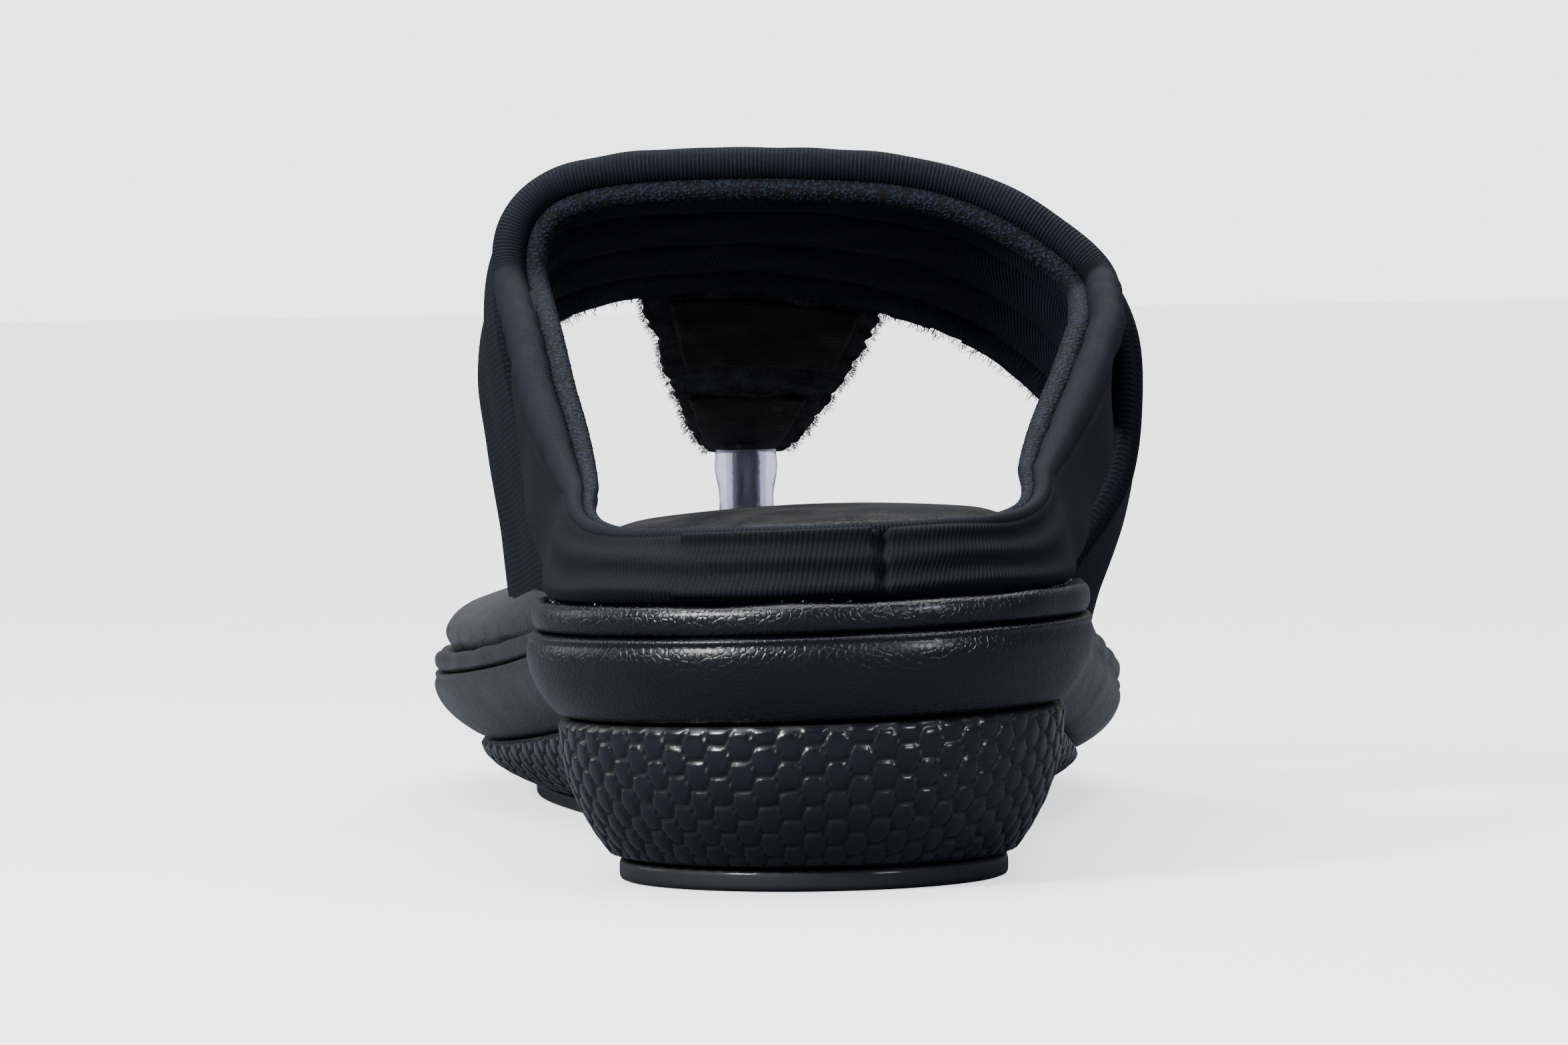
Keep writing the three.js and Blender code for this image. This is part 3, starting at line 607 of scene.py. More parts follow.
@dataclass(frozen=True)
class MouldedRubber:
    """Moulded synthetic rubber: grooves painted dark as shade and pads painted lighter, the pads also
    glossier by wear.
    """

    name: str
    groove: str
    pad: str
    polish: float = 0.3
    dull: float = 0.62

    def material(self) -> bpy.types.Material:
        """Colour and roughness follow the piece's relief attribute, over a fine mould texture; the dark
        grooves are painted shade.
        """
        m = blank(self.name)
        t = m.node_tree
        at = add(t, "TexCoord", {}, {}).outputs["Object"]
        lifted = add(t, "Attribute", {"attribute_name": "relief"}, {})
        fine = add(t, "TexNoise", {}, {"Vector": at, "Scale": 1 / (0.35 * MM), "Detail": 3.0})
        patchy = add(t, "TexNoise", {}, {"Vector": at, "Scale": 1 / (12 * MM), "Detail": 2.0})
        share = add(
            t,
            "Math",
            {"operation": "MULTIPLY", "use_clamp": True},
            {0: lifted.outputs["Fac"], 1: patchy.outputs["Fac"]},
        )
        more = add(t, "Math", {"operation": "MULTIPLY", "use_clamp": True}, {0: share.outputs[0], 1: 1.7})
        # Painted shade: dark colour in the grooves and lighter on the raised pads, varied in patches.
        colour = add(
            t, "Mix", {"data_type": "RGBA"}, {0: more.outputs[0], 6: linear(self.groove), 7: linear(self.pad)}
        )
        rough = add(
            t, "MapRange", {}, {"Value": lifted.outputs["Fac"], "To Min": self.dull, "To Max": self.polish}
        )
        return finished(
            m, colour.outputs[2], rough.outputs["Result"], fine.outputs["Fac"], 0.04, 0.4,
            IOR=1.52, Specular_IOR_Level=0.5, Coat_Weight=0.3, Coat_Roughness=0.12,
        )


class Stitch(Enum):
    """How the yarns of a fabric stand on its face."""

    RIBS_ACROSS = "ribs that run across the piece"
    COLUMNS = "columns of slanted stitches"
    LOOPS = "loops of textured yarn"


@dataclass(frozen=True)
class KnitFabric:
    """Knitted polyester: matt yarns with a faint sheen, crests painted lighter as highlight and gaps painted
    dark as shade.
    """

    name: str
    stitch: Stitch
    gap_shade: str
    crest: str
    pitch: float = 0.6
    depth: float = 0.16
    sheen: float = 0.02

    def crests(self, t: bpy.types.NodeTree) -> bpy.types.NodeSocket:
        """Height of the yarns from 0 to 1, worked out on the UV map's lengths.

        Ribs are a triangle wave. Columns add stitches whose rows slant up towards each
        column's middle. Loops are rounded cells.
        """
        at = add(t, "UVMap", {"uv_map": "surface"}, {}).outputs["UV"]
        sway = add(t, "TexNoise", {}, {"Vector": at, "Scale": 1 / (14 * MM), "Detail": 1.0})
        bent = add(
            t, "VectorMath", {"operation": "MULTIPLY_ADD"},
            {0: sway.outputs["Color"], 1: (0.7 * MM, 0.7 * MM, 0.0), 2: at},
        )
        place = add(t, "SeparateXYZ", {}, {0: bent.outputs[0]})
        if self.stitch is Stitch.LOOPS:
            cells = add(
                t,
                "TexVoronoi",
                {"feature": "SMOOTH_F1"},
                {"Vector": bent.outputs[0], "Scale": 1 / (self.pitch * MM), "Smoothness": 0.35},
            )
            near = cells.outputs["Distance"]
            return add(
                t, "MapRange", {}, {"Value": near, "From Max": 0.6, "To Min": 1.0, "To Max": 0.0}
            ).outputs["Result"]
        scaled = add(t, "Math", {"operation": "DIVIDE"}, {0: place.outputs["X"], 1: self.pitch * MM})
        ribs = add(t, "Math", {"operation": "PINGPONG"}, {0: scaled.outputs[0], 1: 0.5})
        if self.stitch is not Stitch.COLUMNS:
            return add(t, "Math", {"operation": "MULTIPLY"}, {0: ribs.outputs[0], 1: 2.0}).outputs[0]
        rows = add(t, "Math", {"operation": "DIVIDE"}, {0: place.outputs["Y"], 1: self.pitch * 0.8 * MM})
        slant = add(t, "Math", {"operation": "ADD"}, {0: rows.outputs[0], 1: ribs.outputs[0]})
        stitches = add(t, "Math", {"operation": "PINGPONG"}, {0: slant.outputs[0], 1: 0.5})
        return add(
            t, "Math", {"operation": "ADD"}, {0: ribs.outputs[0], 1: stitches.outputs[0]}
        ).outputs[0]

    def material(self) -> bpy.types.Material:
        """Painted shade in the gaps, painted highlight on the crests, stronger in patches, and a sheen."""
        m = blank(self.name)
        t = m.node_tree
        height = self.crests(t)
        at = add(t, "TexCoord", {}, {}).outputs["Object"]
        patchy = add(t, "TexNoise", {}, {"Vector": at, "Scale": 1 / (8 * MM), "Detail": 4.0})
        fuzz = add(t, "TexNoise", {}, {"Vector": at, "Scale": 1 / (0.3 * MM), "Detail": 2.0})
        highlight_patches = add(t, "MapRange", {}, {"Value": patchy.outputs["Fac"], "To Min": 0.35, "To Max": 1.25})
        share = add(
            t, "Math", {"operation": "MULTIPLY", "use_clamp": True}, {0: height, 1: highlight_patches.outputs["Result"]}
        )
        # Painted shade in the gaps and painted highlight on the yarn crests, the highlight stronger in
        # patches.
        colour = add(
            t,
            "Mix",
            {"data_type": "RGBA"},
            {0: share.outputs[0], 6: linear(self.gap_shade), 7: linear(self.crest)},
        )
        rough = add(t, "Math", {"operation": "MULTIPLY_ADD"}, {0: fuzz.outputs["Fac"], 1: 0.3, 2: 0.6})
        uneven = add(t, "Math", {"operation": "MULTIPLY_ADD"}, {0: fuzz.outputs["Fac"], 1: 0.35, 2: height})
        return finished(
            m, colour.outputs[2], rough.outputs[0], uneven.outputs[0], self.depth, 0.8,
            IOR=1.5, Sheen_Weight=self.sheen, Sheen_Roughness=0.4, Sheen_Tint=linear("#9aa4b8"),
            Specular_IOR_Level=0.2,
        )


@dataclass(frozen=True)
class MattedFibre:
    """Needled felt, board or lint: no gloss at all, cloudy, with fibres at its scale."""

    name: str
    dark: str
    light: str
    grain: float
    depth: float = 0.2
    roughness: float = 0.95

    def material(self) -> bpy.types.Material:
        """Two noises, one for the cloudiness and one for the fibres."""
        m = blank(self.name)
        t = m.node_tree
        at = add(t, "TexCoord", {}, {}).outputs["Object"]
        cloud = add(t, "TexNoise", {}, {"Vector": at, "Scale": 1 / (self.grain * 6 * MM), "Detail": 4.0})
        fine_inputs = {"Vector": at, "Scale": 1 / (self.grain * MM), "Detail": 5.0, "Distortion": 1.5}
        fine = add(t, "TexNoise", {}, fine_inputs)
        both = add(t, "Math", {"operation": "MULTIPLY"}, {0: cloud.outputs["Fac"], 1: fine.outputs["Fac"]})
        share = add(t, "MapRange", {}, {"Value": both.outputs[0], "From Min": 0.12, "From Max": 0.42})
        colour = add(
            t,
            "Mix",
            {"data_type": "RGBA"},
            {0: share.outputs["Result"], 6: linear(self.dark), 7: linear(self.light)},
        )
        return finished(
            m, colour.outputs[2], self.roughness, fine.outputs["Fac"], self.depth, 0.7,
            IOR=1.46, Sheen_Weight=0.08, Sheen_Roughness=0.6, Specular_IOR_Level=0.2,
        )


@dataclass(frozen=True)
class CoatedTape:
    """Woven nylon tape with a thin coating: nearly black, a dull shine and a faint square weave."""

    name: str
    colour: str
    thread: str
    pitch: float = 0.55

    def material(self) -> bpy.types.Material:
        """The weave is the product of two sine-like waves, one band to each pitch."""
        m = blank(self.name)
        t = m.node_tree
        at = add(t, "TexCoord", {}, {}).outputs["Object"]
        scale = WAVE_PERIOD / (self.pitch * MM)
        sideways = add(t, "TexWave", {"bands_direction": "X"}, {"Vector": at, "Scale": scale})
        upwards = add(t, "TexWave", {"bands_direction": "Z"}, {"Vector": at, "Scale": scale})
        both = {0: sideways.outputs["Fac"], 1: upwards.outputs["Fac"]}
        weave = add(t, "Math", {"operation": "MULTIPLY"}, both)
        scuffs = add(t, "TexNoise", {}, {"Vector": at, "Scale": 1 / (2.5 * MM), "Detail": 6.0})
        share = add(t, "Math", {"operation": "MULTIPLY"}, {0: weave.outputs[0], 1: scuffs.outputs["Fac"]})
        colour = add(
            t,
            "Mix",
            {"data_type": "RGBA"},
            {0: share.outputs[0], 6: linear(self.colour), 7: linear(self.thread)},
        )
        rough = add(t, "MapRange", {}, {"Value": scuffs.outputs["Fac"], "To Min": 0.4, "To Max": 0.75})
        return finished(m, colour.outputs[2], rough.outputs["Result"], weave.outputs[0], 0.06, 0.5, IOR=1.53)


@dataclass(frozen=True)
class ClearPlastic:
    """Clear thermoplastic polyurethane: see-through and glossy, a little cloudy from handling."""

    name: str
    tint: str

    def material(self) -> bpy.types.Material:
        """Transmission with faint streaks along the moulding in the roughness."""
        m = blank(self.name)
        t = m.node_tree
        at = add(t, "TexCoord", {}, {}).outputs["Object"]
        stretched = add(t, "Mapping", {}, {"Vector": at, "Scale": (1.0, 1.0, 0.15)})
        along = {"Vector": stretched.outputs[0], "Scale": 1 / (1.5 * MM), "Detail": 3.0}
        streaks = add(t, "TexNoise", {}, along)
        rough = add(t, "MapRange", {}, {"Value": streaks.outputs["Fac"], "To Min": 0.05, "To Max": 0.3})
        return finished(
            m, linear(self.tint), rough.outputs["Result"], streaks.outputs["Fac"], 0.05, 0.2,
            IOR=1.5, Transmission_Weight=0.85,
        )


# Groove colours are painted shade between the pads; pad colours are lighter.
TREAD_RUBBER = MouldedRubber("tread_rubber_moulded", "#0a0d13", "#131822", 0.5, 0.7)
GRIP_RUBBER = MouldedRubber("honeycomb_rubber_moulded", "#020408", "#0b111b", 0.2, 0.6)
# The third colour of each skin is painted light, a lighter grey for the front light on the forefoot.
SOLE_SKIN = MouldedLeatherLook("sole_skin_satin", "#04080f", "#080e17", "#2c2d30", 0.42, 0.27)
FOOTBED_SKIN = MouldedLeatherLook("footbed_skin_grained", "#050609", "#0a0b0f", "#434448", 0.5, 0.34, 0.07)
# Knit colours: the first is painted shade in the gaps, the second painted highlight on the crests.
OUTER_KNIT = KnitFabric("outer_knit_columns", Stitch.COLUMNS, "#010205", "#101828", 0.75)
ROLL_KNIT = KnitFabric("collar_knit_ribs", Stitch.RIBS_ACROSS, "#020408", "#131c2c", 0.55, 0.14)
SLING_KNIT = KnitFabric("sling_knit_fine_ribs", Stitch.RIBS_ACROSS, "#03050a", "#0c121d", 0.62, 0.09)
LINING_RIB = KnitFabric("lining_knit_ribs", Stitch.RIBS_ACROSS, "#04060c", "#1c2740", 0.6, 0.14)
LOOPED_YARN = KnitFabric("lining_yarn_loops", Stitch.LOOPS, "#05070c", "#29344a", 0.5, 0.25, 0.06)
GREY_FELT = MattedFibre("felt_needled", "#19191c", "#5e5e62", 0.4)
# Lighter grey fuzz: painted backlight on the felt's loose fibres.
BACKLIT_FELT_FUZZ = MattedFibre("felt_fibre_painted_backlight", "#343437", "#8a8a8e", 0.4)
FIBREBOARD = MattedFibre("fibreboard_dyed", "#15130f", "#2c2720", 0.6)
BLACK_TAPE = CoatedTape("nylon_tape_coated", "#020203", "#0b0c0f")
NYLON = CoatedTape("nylon_moulded", "#1a1c20", "#2b2d32", 1.2)
CLEAR_TPU = ClearPlastic("polyurethane_clear", "#c4c4d4")
WEBBING = CoatedTape("webbing_woven", "#16142a", "#4a4668", 0.7)
DRY_GLUE = MattedFibre("lint_and_glue", "#8a7f84", "#d8ccd0", 0.3)

Finish = Union[MouldedLeatherLook, MouldedRubber, KnitFabric, MattedFibre, CoatedTape, ClearPlastic]


def dress(obj: bpy.types.Object, finish: Finish) -> None:
    """Gives a piece its finish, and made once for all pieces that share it."""
    material = bpy.data.materials.get(finish.name) or finish.material()
    obj.data.materials.clear()
    obj.data.materials.append(material)


def shown(obj: bpy.types.Object, finish: Finish, slot: str, body: str, *nodes: str) -> bpy.types.Object:
    """Dresses a piece, lets it ride on a body and stand for CAD nodes, and reports it.

    Args:
        obj: the piece.
        finish: its finish.
        slot: not used.
        body: the CAD body it moves with.
        *nodes: CAD nodes that it stands for.

    Returns:
        The same piece.
    """
    dress(obj, finish)
    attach(obj, body)
    if nodes:
        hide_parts(*nodes)
    LOG.info("%s: %d triangles", obj.name, len(obj.data.polygons))
    return obj


# ---------------------------------------------------------------- sole


class Side(Enum):
    """The two long sides of the sole, with the sign of their x."""

    MEDIAL = -1
    LATERAL = 1


@dataclass(frozen=True)
class Loop:
    """Points round the sole's widest outline, each with the spine point it looks at."""

    x: Array
    y: Array
    spine_x: Array
    spine_y: Array
    medial: Array
    run: Array

    def inset(self, amount: Array) -> tuple[Array, Array]:
        """x and y after moving each point towards its spine point by amount, rows by columns."""
        dx, dy = self.spine_x - self.x, self.spine_y - self.y
        length = np.hypot(dx, dy)
        share = np.minimum(amount, length) / np.maximum(length, 1e-9)
        return self.x + dx * share, self.y + dy * share


@dataclass(frozen=True)
class SoleShape:
    """Outline and layer heights of the sole, shared by all of its pieces."""

    heel_radius: float = 34.2
    tip_x: float = -14.0
    tip_y: float = 223.0
    fan_y: float = 186.0
    waist: tuple[Pair, Pair] = ((31.5, 45.0), (35.0, 40.0))
    ball: tuple[Pair, Pair] = ((52.6, 146.0), (43.2, 124.0))
    spring: float = 5.0
    spring_y: float = 152.0
    heel_end_y: float = 5.0
    ball_start_y: float = 146.0
    tilt: Pair = (0.02, -0.036)
    tread_z: Pair = (2.6, 2.2)
    outsole_z: Pair = (20.1, 6.4)
    midsole_z: Pair = (30.8, 15.6)
    rim_z: Pair = (34.5, 18.4)
    board_lift: float = 1.9
    crown_z: Pair = (9.2, 8.5)
    toe_fall: float = 2.0

    def along(self, sizes: Pair, y: Number) -> Number:
        """A size that goes from its heel value to its ball value, eased between the two places."""
        return mix(*sizes, ease((y - self.heel_end_y) / (self.ball_start_y - self.heel_end_y)))

    def edge_x(self, side: Side, y: Array) -> Array:
        """x of the widest outline: a round heel, eased to waist and ball, then a quarter ellipse."""
        pick = 0 if side is Side.MEDIAL else 1
        (waist_x, waist_y), (ball_x, ball_y) = self.waist[pick], self.ball[pick]
        heel = np.sqrt(np.maximum(0, self.heel_radius**2 - y**2))
        rear = mix(self.heel_radius, waist_x, ease(y / waist_y))
        fore = mix(waist_x, ball_x, ease((y - waist_y) / (ball_y - waist_y)))
        share = np.clip((y - ball_y) / (self.tip_y - ball_y), 0, 1)
        toe = self.tip_x + (side.value * ball_x - self.tip_x) * np.sqrt(1 - share**2)
        body = side.value * np.where(y < 0, heel, np.where(y < waist_y, rear, fore))
        return np.where(y < ball_y, body, toe)

    def spine_x(self, y: Array) -> Array:
        """x midway between the two sides."""
        return (self.edge_x(Side.MEDIAL, y) + self.edge_x(Side.LATERAL, y)) / 2

    def loop(self, count: int) -> Loop:
        """The outline at 2 x count steps, at the same y on both sides, evenly by mean length."""
        angle = np.linspace(0, math.pi, 4001)
        middle = (self.tip_y - self.heel_radius) / 2
        y = middle - (self.tip_y + self.heel_radius) / 2 * np.cos(angle)
        lengths = [
            np.concatenate([[0], np.cumsum(np.hypot(np.diff(self.edge_x(s, y)), np.diff(y)))]) for s in Side
        ]
        mean = (lengths[0] + lengths[1]) / 2
        ys = np.interp(np.linspace(0, mean[-1], count + 1), mean, y)
        both = np.concatenate([ys, ys[:-1][::-1]])
        medial = np.concatenate([np.zeros(count + 1), np.ones(count)])
        x = np.where(medial > 0, self.edge_x(Side.MEDIAL, both), self.edge_x(Side.LATERAL, both))
        x[0] = x[-1] = 0.0
        spine_y = np.clip(both, 0, self.fan_y)
        run = np.concatenate([[0], np.cumsum(np.hypot(np.diff(x), np.diff(both)))])
        return Loop(x, both, self.spine_x(spine_y), spine_y, medial, run)

    def toe_spring(self, y: Array) -> Array:
        """Lift of the toe, a square law from the ball to the tip."""
        return self.spring * np.clip((y - self.spring_y) / (self.tip_y - self.spring_y), 0, 1) ** 2

    def layer(self, sizes: Pair, x: Array, y: Array) -> Array:
        """Height of a tilted layer over the ground."""
        return self.along(sizes, y) + self.toe_spring(y) + self.along(self.tilt, y) * x

    def tread_top(self, x: Array, y: Array) -> Array:
        """Height of the tread's upper face."""
        return self.along(self.tread_z, y) + self.toe_spring(y)

    def outsole_top(self, x: Array, y: Array) -> Array:
        """Height of the outsole's upper face."""
        return self.layer(self.outsole_z, x, y)

    def midsole_top(self, x: Array, y: Array) -> Array:
        """Height of the groove under the rim."""
        return self.layer(self.midsole_z, x, y)

    def rim_top(self, x: Array, y: Array) -> Array:
        """Height of the rim's crest."""
        return self.layer(self.rim_z, x, y)

    def board_top(self, x: Array, y: Array) -> Array:
        """Height of the insole board's upper face."""
        return self.midsole_top(x, y) + self.board_lift

    def crown(self, y: Array) -> Array:
        """Height of the footbed's crown over the rim."""
        fall = self.toe_fall * ease((y - self.ball_start_y) / (self.tip_y - self.ball_start_y))
        return self.along(self.crown_z, y) - fall

    def stack(
        self,
        loop: Loop,
        insets: Array,
        shares: Array,
        base: Callable[[Array, Array], Array],
        top: Callable[[Array, Array], Array],
    ) -> Array:
        """Rings of the outline between two heights, closed over the spine at both ends.

        Args:
            loop: the outline.
            insets: (rows, columns) distances towards the spine.
            shares: (rows,) or (rows, columns) shares of the height from base to top.
            base: gives the lower face's z for x and y.
            top: gives the upper face's z for x and y.

        Returns:
            (rows, columns, 3) grid.
        """
        x, y = loop.inset(insets)
        share = shares if shares.ndim == 2 else shares[:, None]
        side = np.stack([x, y, mix(base(x, y), top(x, y), share)], axis=2)
        spine = np.stack([loop.spine_x, loop.spine_y], axis=1)[None]
        inwards = np.array([0.2, 0.45, 0.7, 0.9, 1.0])[:, None, None]
        foot = mix(side[:1, :, :2], spine, inwards)[::-1]
        head = mix(side[-1:, :, :2], spine, inwards)
        foot_z = base(foot[..., 0], foot[..., 1])[..., None]
        head_z = top(head[..., 0], head[..., 1])[..., None]
        return np.concatenate([np.concatenate([foot, foot_z], 2), side, np.concatenate([head, head_z], 2)])


@dataclass(frozen=True)
class Sole:
    """Tread, honeycomb outsole, midsole and rim."""

    shape: SoleShape = SoleShape()
    pad_width: float = 3.25
    pad_height: float = 3.65
    pad_rise: float = 0.55
    gap: float = 0.3
    tread_inset: Pair = (11.2, 14.8)
    lip: float = 0.5
    tread_rounding: float = 0.7
    foot_inset: Pair = (10.4, 14.0)
    top_inset: Pair = (4.0, 7.0)
    bowl_flare: float = 2.2
    bulge_flare: float = 2.6
    groove_lip: float = 0.45
    groove_turn: float = 0.8
    shoulder: float = 0.7
    foot_turn: float = 0.8
    rim_middle: float = 2.0
    rim_half: float = 1.5
    rim_power: float = 0.8

    def tread(self) -> bpy.types.Object:
        """Smooth wall that stands out by the lip beyond its inset, rounded off towards both rims."""
        shape = self.shape
        loop = shape.loop(220)
        share = np.linspace(0, 1, 15)
        inset = shape.along(self.tread_inset, loop.y)[None] - self.lip
        round_off = self.tread_rounding * (1 - np.sqrt(np.maximum(0, 1 - np.abs(2 * share - 1) ** 4)))
        grid = shape.stack(
            loop, inset + round_off[:, None], share, lambda x, y: shape.toe_spring(y), shape.tread_top
        )
        return from_grid("tread_sole", grid)

    def honeycomb(self, run: Array, rise: Array, even_columns: int) -> Array:
        """Height from 0 to 1 of rounded six-sided pads in staggered columns.

        A pad is where the nearest centre is clearly nearer than the second nearest one, and
        it is domed by the distance to its centre.

        Args:
            run: length round the outline, in mm.
            rise: length up the wall, in mm.
            even_columns: number of columns all round, an even number.

        Returns:
            Height for each point.
        """
        pitch = run.max() / even_columns
        column = np.round(run / pitch)
        found = []
        for dc in (-1, 0, 1):
            c = column + dc
            stagger = 0.5 * (np.mod(c, 2))
            row = np.round(rise / self.pad_height - stagger)
            for dr in (-1, 0, 1):
                r = row + dr
                jitter = 0.1 * np.sin(12.9898 * c + 78.233 * r)
                across = (run - (c + jitter * 0.4) * pitch) / self.pad_width
                up = (rise - (r + stagger) * self.pad_height - jitter) / self.pad_height
                found.append(np.hypot(across, up * 1.02))
        nearest = np.sort(np.stack(found), axis=0)[:2]
        wall = ease((nearest[1] - nearest[0]) / 0.2)
        return wall * (1 - 0.9 * nearest[0] ** 2)

    def outsole(self) -> bpy.types.Object:
        """Bowl side covered in pads, which stand out along the wall's normal."""
        shape = self.shape
        loop = shape.loop(650)
        share = np.linspace(0, 1, 54)
        top = shape.along(self.top_inset, loop.y)[None]
        foot = shape.along(self.foot_inset, loop.y)[None]
        inset = mix(top, foot, ((1 - share) ** self.bowl_flare)[:, None])
        grid = shape.stack(
            loop, inset, share, lambda x, y: shape.tread_top(x, y) + self.gap, shape.outsole_top
        )
        wall = grid[5:-5]
        rise = run_lengths(wall, 0)
        run = np.broadcast_to(loop.run, rise.shape)
        columns = int(round(loop.run[-1] / self.pad_width / 2)) * 2
        pads = self.honeycomb(run, rise, columns)
        fade = ease(rise / 0.9) * ease((rise[-1:] - rise) / 0.7)
        pads = pads * fade
        normals = grid_normals(wall, (0.0, 90.0, 60.0))
        wall = wall + normals * (self.pad_rise * pads - 0.1)[..., None]
        grid = np.concatenate([grid[:5], wall, grid[-5:]])
        relief = np.concatenate([np.zeros((5, rise.shape[1])), pads, np.zeros((5, rise.shape[1]))])
        return from_grid("outsole_honeycomb", grid, relief)

    def midsole(self) -> bpy.types.Object:
        """Rounded side, widest at the groove, with a thin raised lip along the groove.

        The inset is the outsole's top inset times a power of one minus the share. On it lie
        the lip just under the groove, the turn into the groove, a soft shoulder and the turn
        under at the foot.
        """
        shape = self.shape
        loop = shape.loop(420)
        share = np.concatenate([np.linspace(0, 0.82, 26), np.linspace(0.84, 1, 15)])
        top = shape.along(self.top_inset, loop.y)[None]
        inset = top * ((1 - share) ** self.bulge_flare)[:, None]
        inset = inset - self.groove_lip * np.exp(-(((share - 0.945) / 0.035) ** 2))[:, None]
        inset = inset + self.groove_turn * (np.clip((share - 0.965) / 0.035, 0, 1) ** 2)[:, None]
        inset = inset + self.shoulder * (np.clip((share - 0.72) / 0.22, 0, 1) ** 2)[:, None]
        inset = inset + self.foot_turn * (np.clip((0.05 - share) / 0.05, 0, 1) ** 2)[:, None]
        grid = shape.stack(
            loop, inset, share, lambda x, y: shape.outsole_top(x, y) + self.gap, shape.midsole_top
        )
        wave = ripple(grid, 26.0, 11) * 0.16
        towards = np.stack([loop.x - loop.spine_x, loop.y - loop.spine_y, 0 * loop.x], axis=1)
        grid = grid + unit(towards)[None] * wave[..., None]
        return from_grid("midsole_body", grid)

    def rim(self) -> bpy.types.Object:
        """Soft band over the groove: a squared oval carried round the outline, with slack creases."""
        shape = self.shape
        loop = shape.loop(460)
        angle = np.linspace(0, 2 * math.pi, 29)[:, None]
        side, up = np.cos(angle), np.sin(angle)
        side = np.sign(side) * np.abs(side) ** self.rim_power
        up = np.sign(up) * np.abs(up) ** self.rim_power
        x0, y0 = loop.inset(np.full((1, len(loop.x)), self.rim_middle))
        points = np.stack([x0, y0, shape.midsole_top(x0, y0)], axis=2)
        crease = ripple(points * np.array([1, 1, 0.2]), 17.0, 5) * 0.28
        inset = self.rim_middle - side * (self.rim_half + crease * 0.6)
        x, y = loop.inset(inset)
        low = shape.midsole_top(x, y) + 0.05
        high = shape.rim_top(x, y) + 0.35 * crease
        z = mix(low, high, 0.5 + 0.5 * up)
        return from_grid("rim_band", np.stack([x, y, z], axis=2))

    def build(self) -> None:
        """Makes and dresses the sole's pieces."""
        shown(self.tread(), TREAD_RUBBER, "tread_rubber", "shoe", "tread")
        shown(self.outsole(), GRIP_RUBBER, "grip_rubber", "shoe", "outsole")
        shown(self.midsole(), SOLE_SKIN, "sole_leather", "shoe", "midsole")
        shown(self.rim(), SOLE_SKIN, "sole_leather", "shoe", "rim")


